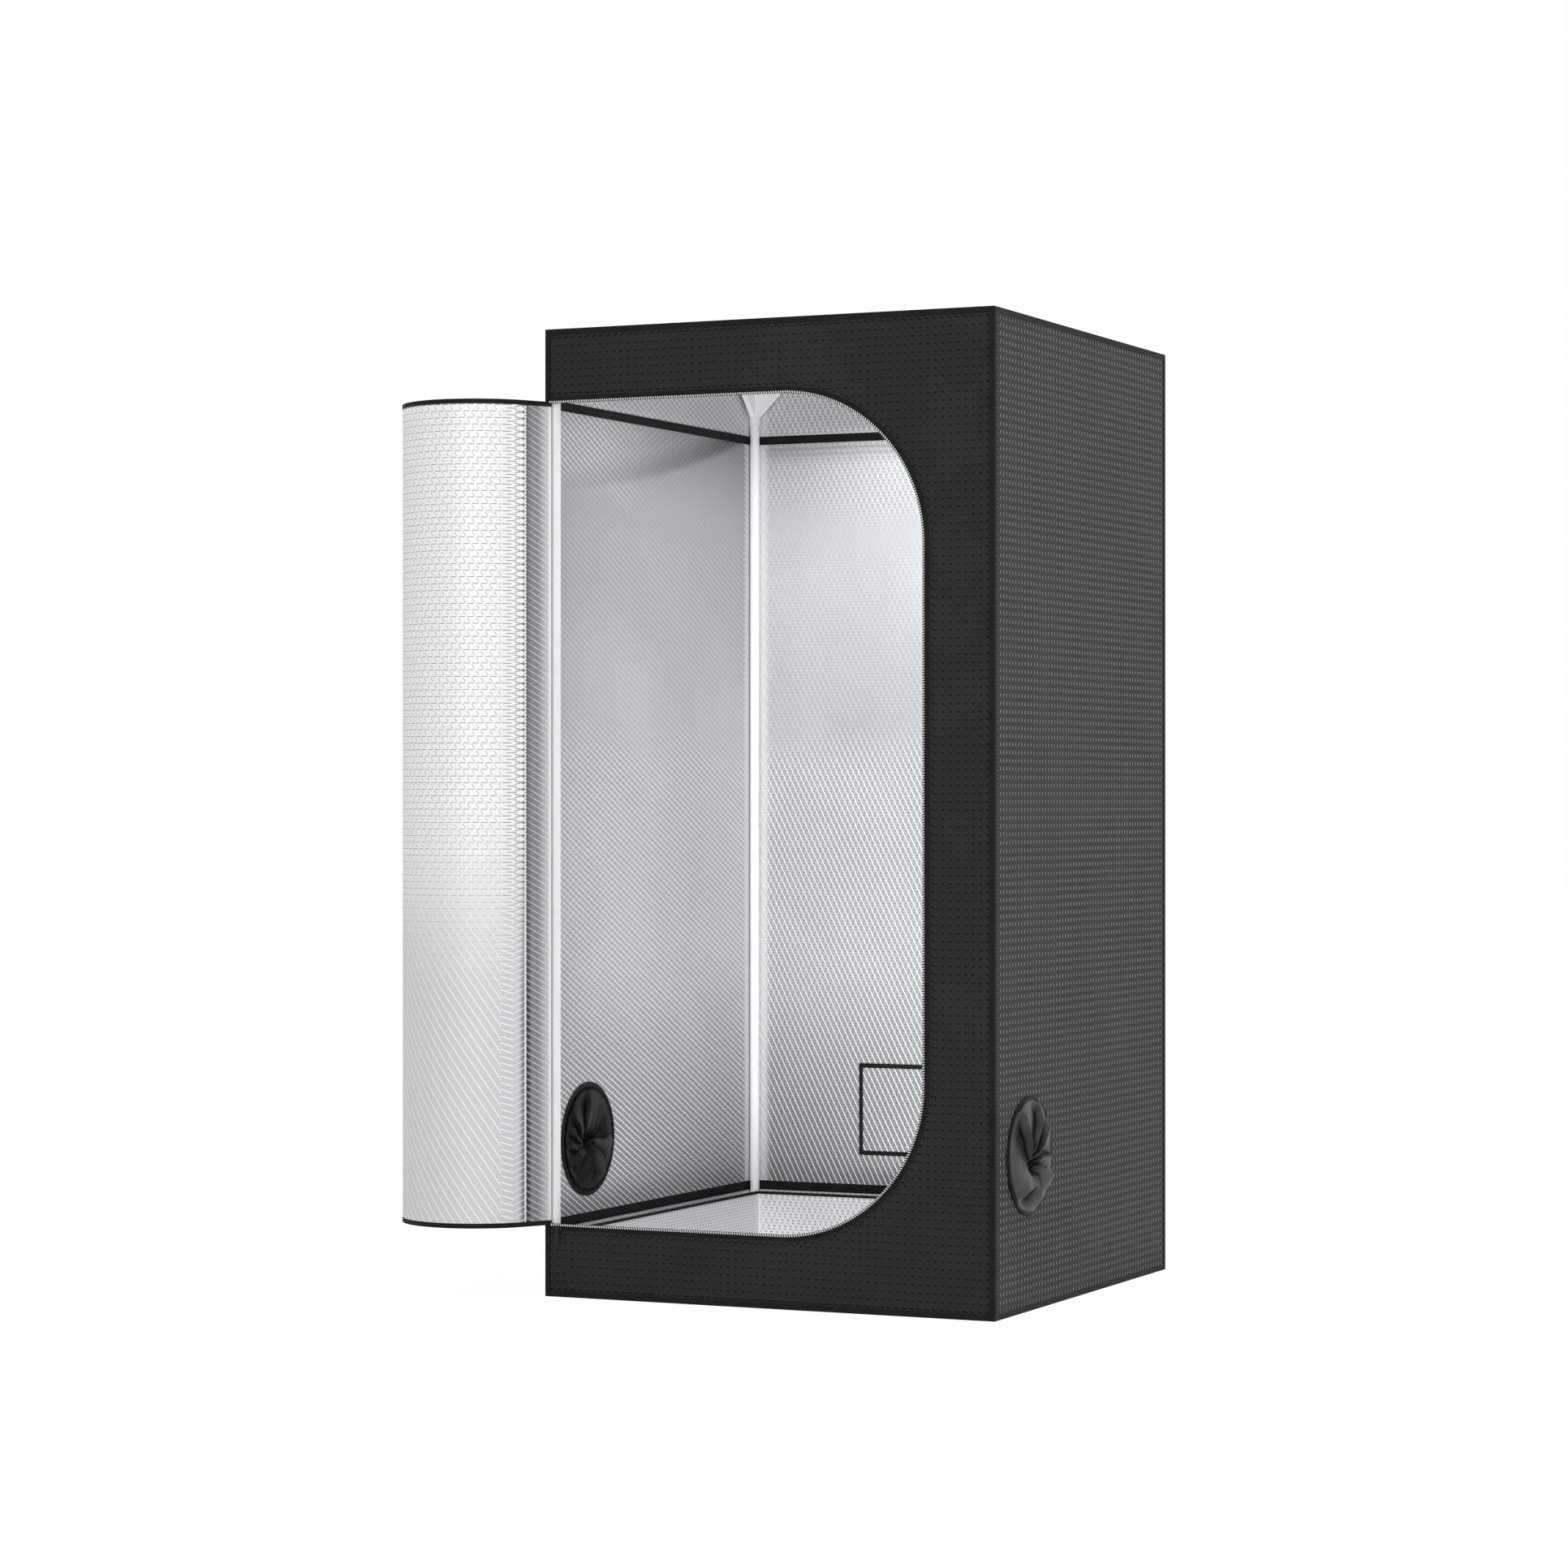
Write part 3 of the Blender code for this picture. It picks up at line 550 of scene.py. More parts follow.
def satin_nylon(name, dark, light, gloss):
    """Thin black nylon of the gathered socks, with painted shade down in its folds, round its knot
    and at its root.

    Its UV map holds the height of the folds and the way in from the rim to the knot.
    """
    material, cloth, solid = new_material(name, 0.46, 0.0, gloss)
    inputs = shader_of(material).inputs
    connect(gloss * 0.25, inputs["Sheen Weight"])
    connect(0.5, inputs["Sheen Roughness"])
    raised, inward, _ = parts(cloth)
    # Painted shade in the folds, round the knot and at the root; it also takes the shine off there
    shadow = most(ramp(raised, 0.50, 0.06) * ramp(inward, 0.08, 0.30),
                  ramp(inward, 0.86, 0.93), ramp(inward, 0.085, 0.045))
    connect(shadow * (-0.9 * gloss) + gloss, inputs["Specular IOR Level"])
    colour = mix(ramp(noise(solid, 40.0, 3.0), 0.3, 0.7), dark, light)
    colour = mix(shadow * 0.94, colour, grey(0.0004))
    crumple = bump(noise(solid, 90.0, 3.0), 0.0005, 0.3)
    return finished(material, colour, bump(noise(solid, 1600.0, 1.0), 0.0001, 0.4, crumple))


def hard_finish(name, surface, shades, patches, grain=None):
    """Two shades in soft patches, with a fine grain in relief.

    surface gives roughness, metallic and specular, patches the noise's scale and detail and
    where it turns, and grain its scale, detail, depth and strength.
    """
    material, _, solid = new_material(name, *surface)
    scale, detail, start, stop = patches
    colour = mix(ramp(noise(solid, scale, detail), start, stop), *shades)
    if not grain:
        return finished(material, colour)
    scale, detail, depth, strength = grain
    return finished(material, colour, bump(noise(solid, scale, detail), depth, strength))


def thread(name, dark, light):
    material, _, solid = new_material(name, 0.7, 0.0, 0.1)
    tone = ramp(noise(solid, 900.0), 0.35, 0.65)
    return finished(material, mix(tone, grey(dark), grey(light)), bump(tone, 0.0001, 0.5))


# Modelling helpers

def select_only(piece):
    bpy.ops.object.select_all(action="DESELECT")
    piece.select_set(True)
    bpy.context.view_layer.objects.active = piece


def apply_all(piece):
    select_only(piece)
    for modifier in list(piece.modifiers):
        bpy.ops.object.modifier_apply(modifier=modifier.name)


def settle(piece):
    """Puts the piece's place into its mesh, with its object at the origin."""
    select_only(piece)
    bpy.ops.object.transform_apply(location=True, rotation=True, scale=True)


def add_shape(name, add, scale=(1, 1, 1), **options):
    """One of Blender's own shapes, with its place and scale settled into its mesh."""
    add(**options)
    piece = bpy.context.object
    piece.name = name
    piece.scale = scale
    settle(piece)
    return piece


def add_box(name, low, high):
    return add_shape(name, bpy.ops.mesh.primitive_cube_add, size=1,
                     scale=[b - a for a, b in zip(low, high)],
                     location=[(a + b) / 2 for a, b in zip(low, high)])


def add_mesh(name, points, faces):
    mesh = bpy.data.meshes.new(name)
    mesh.from_pydata([tuple(point) for point in points], [], faces)
    mesh.validate()
    return new_object(name, mesh)


def quads(columns, rows, start=0, ring=False, loop=False):
    """Faces between columns of points. ring closes each column, loop the set of columns."""
    faces = []
    for column in range(columns if loop else columns - 1):
        near = start + column * rows
        far = start + (column + 1) % columns * rows
        for row in range(rows if ring else rows - 1):
            after = (row + 1) % rows
            faces.append((near + row, near + after, far + after, far + row))
    return faces


def tube(columns, rows, start=0):
    """Faces of a closed tube: rings of points in a row, and a cap at each end."""
    last = start + (columns - 1) * rows
    caps = [tuple(range(start, start + rows)), tuple(reversed(range(last, last + rows)))]
    return quads(columns, rows, start, ring=True) + caps


def open_mesh(piece, chosen=None):
    """Edit mode with every face chosen, or only those that pass the test."""
    select_only(piece)
    bpy.ops.object.mode_set(mode="EDIT")
    bpy.ops.mesh.select_all(action="DESELECT" if chosen else "SELECT")
    if chosen:
        bpy.ops.object.mode_set(mode="OBJECT")
        for face in piece.data.polygons:
            face.select = chosen(face)
        bpy.ops.object.mode_set(mode="EDIT")


def close_mesh():
    bpy.ops.object.mode_set(mode="OBJECT")


def face_outward(piece):
    open_mesh(piece)
    bpy.ops.mesh.normals_make_consistent(inside=False)
    close_mesh()


def thicken(piece, thickness, offset=0):
    wall = piece.modifiers.new("cloth", "SOLIDIFY")
    wall.thickness = thickness
    wall.offset = offset
    return wall


def round_edges(piece, width, segments):
    edge = piece.modifiers.new("edge", "BEVEL")
    edge.width = width
    edge.segments = segments


def smooth(piece, angle):
    select_only(piece)
    bpy.ops.object.shade_smooth_by_angle(angle=math.radians(angle))


def set_materials(piece, *materials):
    piece.data.materials.clear()
    for material in materials:
        piece.data.materials.append(material)


def dress(piece, slot, *materials, body="tent_body", node=None):
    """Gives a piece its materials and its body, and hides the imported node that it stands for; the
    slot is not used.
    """
    if materials:
        set_materials(piece, *materials)
    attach(piece, body)
    if node:
        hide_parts(node)


def facing(outward):
    """The turn that takes the upward axis to the way out."""
    return Vector(outward).to_track_quat("Z", "Y").to_matrix().to_4x4()


def cloth_layer(piece):
    """A piece's one UV map."""
    layers = piece.data.uv_layers
    while layers:
        layers.remove(layers[0])
    return layers.new(name="cloth")


def map_points(piece, places):
    """UV map that gives each point its own place."""
    layer = cloth_layer(piece)
    for loop in piece.data.loops:
        layer.data[loop.index].uv = places[loop.vertex_index]


def lay_out(piece, across, up):
    """UV map in metres along two directions."""
    across, up = Vector(across), Vector(up)
    map_points(piece, [(point.co.dot(across), point.co.dot(up))
                       for point in piece.data.vertices])


def lay_out_by_face(piece):
    """UV map in metres, each face along the two axes it lies in."""
    layer = cloth_layer(piece)
    for face in piece.data.polygons:
        normal = [abs(value) for value in face.normal]
        main = normal.index(max(normal))
        across, up = ((1, 2), (0, 2), (0, 1))[main]
        for index in face.loop_indices:
            point = piece.data.vertices[piece.data.loops[index].vertex_index].co
            layer.data[index].uv = (point[across], point[up])


def two_sided(piece, outward, outside, inside):
    """Outside finish on faces that look outward and on the rim, inside finish behind."""
    set_materials(piece, outside, inside)
    outward = Vector(outward)
    for face in piece.data.polygons:
        face.material_index = 1 if face.normal.dot(outward) < -0.5 else 0


def scatter(name, pattern, places):
    """One mesh of many small copies of a pattern mesh."""
    base = np.array([v.co for v in pattern.vertices])
    faces = [tuple(face.vertices) for face in pattern.polygons]
    points, all_faces = [], []
    for place in places:
        start = len(points) * len(base)
        points.append(base @ np.array(place.to_3x3()).T + np.array(place.translation))
        all_faces += [tuple(start + index for index in face) for face in faces]
    piece = add_mesh(name, np.concatenate(points), all_faces)
    smooth(piece, 60)
    return piece


def bead_mesh(name, size):
    """A small rounded bead, the pattern for stitches and zip teeth."""
    bead = add_shape(name, bpy.ops.mesh.primitive_uv_sphere_add, size, segments=6, ring_count=4,
                     radius=0.5)
    mesh = bead.data.copy()
    bpy.data.objects.remove(bead)
    return mesh


# Panels of the tent

def slack(piece, face, free, holes=()):
    """Gentle waves in a panel, still where it is held and round its holes."""
    amount, edge_hold, hole_hold = 0.0015, 0.12, 0.06
    outward, across, up = [Vector(value) for value in FACES[face][1:]]
    (left, right), (low, high) = free
    for vertex in piece.data.vertices:
        u, v = vertex.co.dot(across), vertex.co.dot(up)
        edge = min(u - left, right - u, v - low, high - v)
        hold = min(max(edge / edge_hold, 0), 1)
        for hole_u, hole_v, radius in holes:
            away = math.hypot(u - hole_u, v - hole_v) - radius
            hold *= min(max(away / hole_hold, 0), 1)
        hold = hold * hold * (3 - 2 * hold)
        wave = (math.sin(9.0 * u + 2.6 * v + 0.6) + 0.8 * math.sin(5.2 * v - 3.4 * u + 1.9)
                + 0.5 * math.sin(15.0 * v + 6.0 * u))
        vertex.co += outward * (hold * wave * amount / 2.3)


def make_panel(face, centre, size, cutter=None):
    """A panel of two-sided cloth, standing or lying, with its opening cut out."""
    cell = 0.02
    _, _, across, up = FACES[face]
    bpy.ops.mesh.primitive_grid_add(x_subdivisions=int(size[0] / cell),
                                    y_subdivisions=int(size[1] / cell), size=1)
    panel = bpy.context.object
    panel.name = f"{face}_cloth"
    turn = Matrix((across, up, Vector(across).cross(Vector(up)))).transposed()
    panel.matrix_world = (Matrix.Translation(centre) @ turn.to_4x4()
                          @ Matrix.Diagonal((size[0], size[1], 1, 1)))
    settle(panel)
    thicken(panel, CLOTH)
    if cutter:
        cut = panel.modifiers.new("opening", "BOOLEAN")
        cut.operation = "DIFFERENCE"
        cut.solver = "EXACT"
        cut.object = cutter
    apply_all(panel)
    if cutter:
        bpy.data.objects.remove(cutter)
    finish_panel(panel, face)
    return panel


def finish_panel(panel, face):
    """Side walls have their map turned, so that the film's lines fall the right way."""
    node, outward, across, up = FACES[face]
    if outward[0]:
        lay_out(panel, up, across)
    else:
        lay_out(panel, across, up)
    # Side walls take the painted lit copy of the cloth
    two_sided(panel, outward, CLOTH_SIDE_LIT if outward[0] else CLOTH_BLACK, FILM)
    dress(panel, "outer_cloth", node=node)


def opening_rise(x):
    """How far the opening's edge stands in from its straight run, above and below."""
    beyond = min(max(x - (OPENING_RIGHT - OPENING_RADIUS), 0), OPENING_RADIUS)
    return OPENING_RADIUS - math.sqrt(OPENING_RADIUS ** 2 - beyond ** 2)


def make_front():
    """The front panel, laid out in columns that follow the D-shaped opening."""
    curve_steps = 40
    sill_rows, opening_rows, header_rows = 12, 55, 13
    centre = OPENING_RIGHT - OPENING_RADIUS
    columns = [-HALF] + list(np.linspace(OPENING_LEFT, centre, 24))
    columns += [centre + OPENING_RADIUS * math.sin(QUARTER * step / curve_steps)
                for step in range(1, curve_steps + 1)]
    columns += list(np.linspace(OPENING_RIGHT, HALF, 7))[1:]
    rows = sill_rows + opening_rows + header_rows + 1
    points, faces = [], []
    for x in columns:
        rise = opening_rise(x)
        low, high = OPENING_LOW + rise, OPENING_HIGH - rise
        heights = list(np.linspace(0, low, sill_rows + 1))
        heights += list(np.linspace(low, high, opening_rows + 1))[1:]
        heights += list(np.linspace(high, HEIGHT, header_rows + 1))[1:]
        points += [(x, -HALF + CLOTH / 2, z) for z in heights]
    for column, x in enumerate(columns[:-1]):
        open_here = OPENING_LEFT - 1e-6 < x < OPENING_RIGHT - 1e-6
        for row in range(rows - 1):
            if not open_here or not sill_rows <= row < sill_rows + opening_rows:
                base = column * rows + row
                faces.append((base, base + rows, base + rows + 1, base + 1))
    panel = add_mesh("front_cloth", points, faces)
    thicken(panel, CLOTH)
    apply_all(panel)
    finish_panel(panel, "front")


def round_cutter(centre, axis):
    return add_shape("cutter", bpy.ops.mesh.primitive_cylinder_add, vertices=96,
                     radius=PORT_RADIUS, depth=0.05, location=centre,
                     rotation=AXIS_TURNS[axis])


def make_panels():
    middle = HEIGHT / 2
    skin = CLOTH / 2
    inner = WIDTH - 2 * CLOTH
    make_front()
    wide = FLAP_HALF - WINDOW_BORDER
    window = add_box("window", (-wide, HALF - 0.05, FLAP_LOW + WINDOW_BORDER),
                     (wide, HALF + 0.05, FLAP_HIGH - WINDOW_BORDER))
    back = make_panel("back", (0, HALF - skin, middle), (WIDTH, HEIGHT), window)
    slack(back, "back", ((-0.35, 0.35), (0.36, 1.46)))
    for face, sign in (("left", -1), ("right", 1)):
        cutter = round_cutter((sign * HALF, PORT_Y, PORT_Z), "X")
        wall = make_panel(face, (sign * (HALF - skin), 0, middle), (inner, HEIGHT), cutter)
        slack(wall, face, ((-0.35, 0.35), (0.14, 1.46)),
              [(PORT_Y, PORT_Z, PORT_RADIUS + 0.012)])
    cutter = round_cutter((*ROOF_PORT, HEIGHT), "Z")
    make_panel("roof", (0, 0, HEIGHT - skin), (inner, inner), cutter)
    make_panel("floor", (0, 0, skin), (inner, inner))


# Edges of the tent

def binding_edge(start, end, first, second):
    """Points of a tape folded over one edge of the tent, mitred where it meets the next."""
    start, end = Vector(start), Vector(end)
    first, second = Vector(first), Vector(second)
    along = (end - start).normalized()
    wide, out, soft = BINDING_WIDTH, -BINDING_PROUD, 0.0009
    profile = [(wide, 0), (wide, out), (out + soft, out), (out + soft * 0.3, out + soft * 0.3),
               (out, out + soft), (out, wide), (0, wide), (0, 0)]
    return [corner + first * a + second * b + along * side * max(a, b)
            for corner, side in ((start, 1), (end, -1)) for a, b in profile]


def make_bindings():
    edges = [((x * HALF, y * HALF, 0), (x * HALF, y * HALF, HEIGHT), (-x, 0, 0), (0, -y, 0))
             for x, y in product(SIDES, SIDES)]
    for (z, down), sign in product(((0, 1), (HEIGHT, -1)), SIDES):
        edges.append(((-HALF, sign * HALF, z), (HALF, sign * HALF, z), (0, -sign, 0),
                      (0, 0, down)))
        edges.append(((sign * HALF, -HALF, z), (sign * HALF, HALF, z), (-sign, 0, 0),
                      (0, 0, down)))
    points, faces = [], []
    for edge in edges:
        edge_points = binding_edge(*edge)
        faces += tube(2, len(edge_points) // 2, len(points))
        points += edge_points
    for point in points:
        point.z = max(point.z, 0)
    binding = add_mesh("edge_binding", points, faces)
    face_outward(binding)
    smooth(binding, 50)
    dress(binding, "black_trim", TAPE)


# Zip round the opening

def zip_place(distance):
    """Point on the opening's edge, in X and Z, and the way out of the opening there."""
    runs = []
    for length in (LEVEL_RUN, CORNER_RUN, SIDE_RUN, CORNER_RUN, LEVEL_RUN):
        runs.append(min(max(distance, 0), length))
        distance -= length
    top, upper_corner, side, lower_corner, sill = runs
    angle = QUARTER - (upper_corner + lower_corner) / OPENING_RADIUS
    out_x, out_z = math.cos(angle), math.sin(angle)
    x = OPENING_LEFT + top - sill + OPENING_RADIUS * out_x
    z = OPENING_HIGH - side - OPENING_RADIUS * (1 - out_z)
    return x, z, out_x, out_z


def along_zip(pitch):
    """Places at an even pitch along the whole zip."""
    return [zip_place((index + 0.5) * pitch) for index in range(int(ZIP_LENGTH / pitch))]


def ribbon(name, profile, thick):
    """Tape along the opening's edge, through places given as distance from it and depth."""
    count = int(ZIP_LENGTH / RIBBON_STEP)
    points = []
    for index in range(count + 1):
        x, z, out_x, out_z = zip_place(ZIP_LENGTH * index / count)
        points += [(x + out_x * reach, depth, z + out_z * reach) for reach, depth in profile]
    tape = add_mesh(name, points, quads(count + 1, len(profile)))
    thicken(tape, thick)
    round_edges(tape, thick * 0.3, 1)
    apply_all(tape)
    smooth(tape, 50)
    dress(tape, "black_trim", TAPE)


def make_zip():
    """The tape laps over the door's edge and lies on the panel's cloth, with teeth on it."""
    face = -DEPTH / 2
    lap, on_cloth = face - 0.0018, face - 0.0004
    core_depth, tooth_depth, tooth_inset = lap - 0.0009, lap - 0.0017, 0.0021
    ribbon("zip_tape", ((-0.0043, lap), (0.0, lap), (0.0030, on_cloth),
                        (TAPE_WIDTH, on_cloth)), 0.0008)
    ribbon("zip_core", ((-0.0042, core_depth), (0.0002, core_depth)), 0.0009)
    places = []
    for x, z, out_x, out_z in along_zip(TOOTH_PITCH):
        angle = math.atan2(out_z, out_x) + TOOTH_TURN
        places.append(Matrix.Translation((x - out_x * tooth_inset, tooth_depth,
                                          z - out_z * tooth_inset))
                      @ Matrix.Rotation(-angle, 4, "Y"))
    coil = scatter("zip_coil", bead_mesh("tooth", (0.0052, 0.0021, 0.0023)), places)
    dress(coil, "zip_metal", COIL)


# Stitches

def stitch_row(start, end, outward):
    """Places of stitches on a straight seam."""
    along = (end - start).normalized()
    turn = Matrix((along, outward.cross(along), outward)).transposed().to_4x4()
    count = int((end - start).length / DIMPLE_PITCH)
    return [Matrix.Translation(start.lerp(end, index / count)) @ turn
            for index in range(count + 1)]


def opening_stitches():
    """Places of stitches beside the zip, all round the opening."""
    reach = TAPE_WIDTH + 0.0042
    return [Matrix.Translation((x + out_x * reach, -HALF, z + out_z * reach))
            @ Matrix.Rotation(QUARTER - math.atan2(out_z, out_x), 4, "Y")
            @ Matrix.Rotation(QUARTER, 4, "X")
            for x, z, out_x, out_z in along_zip(DIMPLE_PITCH)]


def make_stitches():
    """A seam round each face. The front has none on its left edge and one by the zip."""
    stitch = bead_mesh("stitch", (0.0042, 0.0028, 0.0014))
    for name in ("front", "back", "left", "right", "roof"):
        outward, across, up = [Vector(value) for value in FACES[name][1:]]
        origin, tall = outward * HALF, HEIGHT
        if name == "roof":
            origin, tall = Vector((0, -HALF, HEIGHT)), DEPTH
        wide, low, high = HALF - STITCH_INSET, STITCH_INSET, tall - STITCH_INSET
        corners = [origin + across * a + up * b
                   for a, b in ((-wide, low), (wide, low), (wide, high), (-wide, high))]
        edges = list(zip(corners, corners[1:] + corners[:1]))
        if name == "front":
            edges.pop()
        places = []
        for start, end in edges:
            places += stitch_row(start, end, outward)
        if name == "front":
            places += opening_stitches()
        dress(scatter(f"{name}_stitches", stitch, places), "black_trim", THREAD_BLACK)


# Tapes inside

def make_inner_tapes():
    """Black tape that covers the inside seams, round the left, back and right walls."""
    near, far = SKIN - 0.0009, SKIN + 0.0004
    for name, (low, high) in (("upper", UPPER_TAPE), ("lower", LOWER_TAPE)):
        points = []
        for sign, at_front in ((-1, True), (-1, False), (1, False), (1, True)):
            for reach, z in ((far, low), (far, high), (near, high), (near, low)):
                points.append((sign * reach, -SKIN if at_front else reach, z))
        tape = add_mesh(f"inner_tape_{name}", points, tube(4, 4))
        face_outward(tape)
        dress(tape, "black_trim", TAPE_INSIDE)


# Spill tray

def make_tray():
    low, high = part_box("spill_tray")
    tray = add_box("tray_cloth", low, high)
    open_mesh(tray, lambda face: face.normal.z > 0.5)
    bpy.ops.mesh.delete(type="FACE")
    close_mesh()
    round_edges(tray, 0.006, 4)
    thicken(tray, CLOTH, -1)
    apply_all(tray)
    lay_out_by_face(tray)
    smooth(tray, 40)
    dress(tray, "mylar_lining", FILM, node="spill_tray")
    wide, deep, tall = [b - a for a, b in zip(low, high)]
    make_ring("tray_binding", (0, 0, high.z - 0.0022), (wide + RING_PROUD, deep + RING_PROUD),
              0.0040, 0.0050, "Z")


def make_ring(name, centre, size, border, thick, axis, **role):
    """A rectangular ring of tape: a plate whose middle is inset and taken out."""
    ring = add_shape(name, bpy.ops.mesh.primitive_plane_add, (size[0], size[1], 1), size=1)
    open_mesh(ring)
    bpy.ops.mesh.inset(thickness=border)
    bpy.ops.mesh.delete(type="FACE")
    close_mesh()
    thicken(ring, thick)
    round_edges(ring, min(thick, border) * 0.2, 2)
    apply_all(ring)
    ring.rotation_euler = AXIS_TURNS[axis]
    ring.location = centre
    settle(ring)
    smooth(ring, 50)
    dress(ring, "black_trim", TAPE, **role)
    return ring


def make_tray_stitches():
    """Zigzag of pale thread that holds the tray's edge, under the lower tape."""
    pitch, lean, height = 0.0048, 30, 0.1084
    reach = SKIN - 0.0002
    wide = SKIN - 0.02
    upright = Matrix.Rotation(QUARTER, 4, "X")
    quarter = Matrix.Rotation(QUARTER, 4, "Z")
    places = []
    for index in range(int(2 * wide / pitch)):
        along = -wide + (index + 0.5) * pitch
        tilt = Matrix.Rotation(math.radians(lean if index % 2 else -lean), 4, "Y")
        places.append(Matrix.Translation((along, reach, height)) @ tilt @ upright)
        for sign in SIDES:
            places.append(Matrix.Translation((sign * reach, along, height))
                          @ quarter @ tilt @ upright)
    row = scatter("tray_stitches", bead_mesh("pale_stitch", (0.0058, 0.0009, 0.0008)), places)
    dress(row, "mylar_lining", THREAD_WHITE)


# Door

def door_rise(along):
    """How far the door's edge stands in from its straight run."""
    beyond = max(along - (DOOR_WIDTH - CORNER_RADIUS), 0)
    return CORNER_RADIUS - math.sqrt(max(CORNER_RADIUS ** 2 - beyond ** 2, 0))


def rolled(along, height, out=0.0):
    """Place on the rolled door, a distance from the hinge and out from the roll."""
    start = LEAVE - QUARTER
    straight = min(along, STRIP)
    angle = start + max(along - STRIP, 0) / STRIP * FOLD
    x = HINGE[0] - straight * math.sin(start) - ROLL_RADIUS * math.cos(start)
    y = HINGE[1] - straight * math.cos(start) + ROLL_RADIUS * math.sin(start)
    radius = ROLL_RADIUS + out
    return Vector((x + radius * math.cos(angle), y - radius * math.sin(angle), height))


def blend_over_fold(piece, index):
    """Finds the places on the roll either side of a door piece's fold line, right at the hinge for
    the first, though nothing uses them, and settles the piece's place into its mesh.
    """
    fold = (index - 1) * STRIP
    reach = (0.004, 0.008) if index == 1 else (STRIP / 2, STRIP / 2)
    rolled(fold - reach[0], 0.8)
    rolled(fold + reach[1], 0.8)
    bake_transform(piece)


def door_stations(index):
    """Distances from the hinge of a door piece's columns, closer together at the D's end."""
    last = index == STRIP_COUNT
    start = max((index - 1.5) * STRIP, 0)
    stop = DOOR_WIDTH if last else (index - 0.5) * STRIP
    count = 20 if last else 12
    shares = [step / count for step in range(count + 1)]
    if last:
        shares = [math.sin(share * QUARTER) for share in shares]
    return [start + (stop - start) * share for share in shares]


def make_door_cloth(index, stations):
    rows = 40
    places = []
    for along in stations:
        rise = door_rise(along)
        tall = DOOR_HIGH - DOOR_LOW - 2 * rise
        places += [(along, DOOR_LOW + rise + tall * row / rows) for row in range(rows + 1)]
    cloth = add_mesh(f"door_cloth_{index:02d}", [rolled(*place) for place in places],
                     quads(len(stations), rows + 1))
    map_points(cloth, places)
    set_materials(cloth, DOOR_FILM, CLOTH_BLACK)
    wall = thicken(cloth, CLOTH)
    wall.material_offset = 1
    wall.material_offset_rim = 1
    apply_all(cloth)
    smooth(cloth, 50)
    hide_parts(f"door_strip_{index:02d}")
    blend_over_fold(cloth, index)
    return cloth


def outline_point(along, top):
    """Point on the flat door's edge, and the way into the cloth there."""
    rise = door_rise(along)
    slope = min(max(along - (DOOR_WIDTH - CORNER_RADIUS), 0) / CORNER_RADIUS, 1)
    level = math.sqrt(1 - slope * slope)
    if top:
        return along, DOOR_HIGH - rise, -slope, -level
    return along, DOOR_LOW + rise, -slope, level


def make_door_binding(index, stations):
    """Black tape folded over the door's edge, above and below, and up the free side."""
    width, proud = 0.0075, 0.0006
    profile = [(-proud, 0.5), (0.0, 1.0), (width, 1.0), (width, -1.0), (0.0, -1.0),
               (-proud, -0.5)]
    half = CLOTH / 2 + proud
    runs = [[outline_point(along, top) for along in stations] for top in (True, False)]
    if index == STRIP_COUNT:
        side_steps = 24
        first, last = DOOR_LOW + CORNER_RADIUS, DOOR_HIGH - CORNER_RADIUS
        runs.append([(DOOR_WIDTH, first + (last - first) * step / side_steps, -1.0, 0.0)
                     for step in range(side_steps + 1)])
    points, faces = [], []
    for run in runs:
        faces += tube(len(run), len(profile), len(points))
        points += [rolled(along + in_s * reach, height + in_z * reach, side * half)
                   for along, height, in_s, in_z in run for reach, side in profile]
    binding = add_mesh(f"door_binding_{index:02d}", points, faces)
    face_outward(binding)
    smooth(binding, 50)
    set_materials(binding, TAPE)
    blend_over_fold(binding, index)
    return binding


def make_door():
    tall = DOOR_HIGH - DOOR_LOW
    for index in range(1, STRIP_COUNT + 1):
        stations = door_stations(index)
        cloth = make_door_cloth(index, stations)
        binding = make_door_binding(index, stations)
        width = stations[-1] - stations[0]
        cut = sum((right - left) * (tall - door_rise(left) - door_rise(right))
                  for left, right in zip(stations, stations[1:]))
        min(cut, width * tall)


# Gathered socks and their rims

# Rim and knot radius, crown, fold height, depth of the knot, and the knot's place
OUTSIDE_SHAPE = (0.0948, 0.0060, 0.0150, 0.0150, 0.0150, (-0.004, -0.016))
INSIDE_SHAPE = (0.0880, 0.0060, 0.0070, 0.0085, 0.0080, (-0.016, -0.004))
# Each fold's width, height and twist towards the knot
OUTSIDE_FOLDS = ((0.80, 0.9, 0.3), (0.60, 1.0, 0.1), (0.95, 1.15, 0.5), (2.10, 0.95, 0.9),
                 (0.90, 0.8, 0.6), (0.85, 1.05, 0.2), (0.55, 0.8, 0.4))
INSIDE_FOLDS = ((1.9, 0.7, 0.1), (0.8, 1.0, 0.3), (0.45, 0.9, 0.5), (0.35, 0.8, 0.3),
                (0.40, 1.1, 0.2), (0.30, 0.7, 0.4), (0.35, 1.0, 0.1), (0.30, 0.8, 0.3),
                (0.40, 1.0, 0.5), (0.60, 0.9, 0.2), (0.80, 0.8, 0.4))
SOCK_RINGS = 52
SOCK_STEPS = 320


def sock_height(share, part, weight):
    """Height of one overlapping fold: it rises across the fold and drops at its lip."""
    swell = math.sin(math.pi * min(share, 1.0) ** 0.70) ** 0.8
    lip = 0.90
    rise = (part / lip) ** 1.3 if part < lip else 1 - ((part - lip) / (1 - lip)) ** 0.7
    return swell * weight * rise


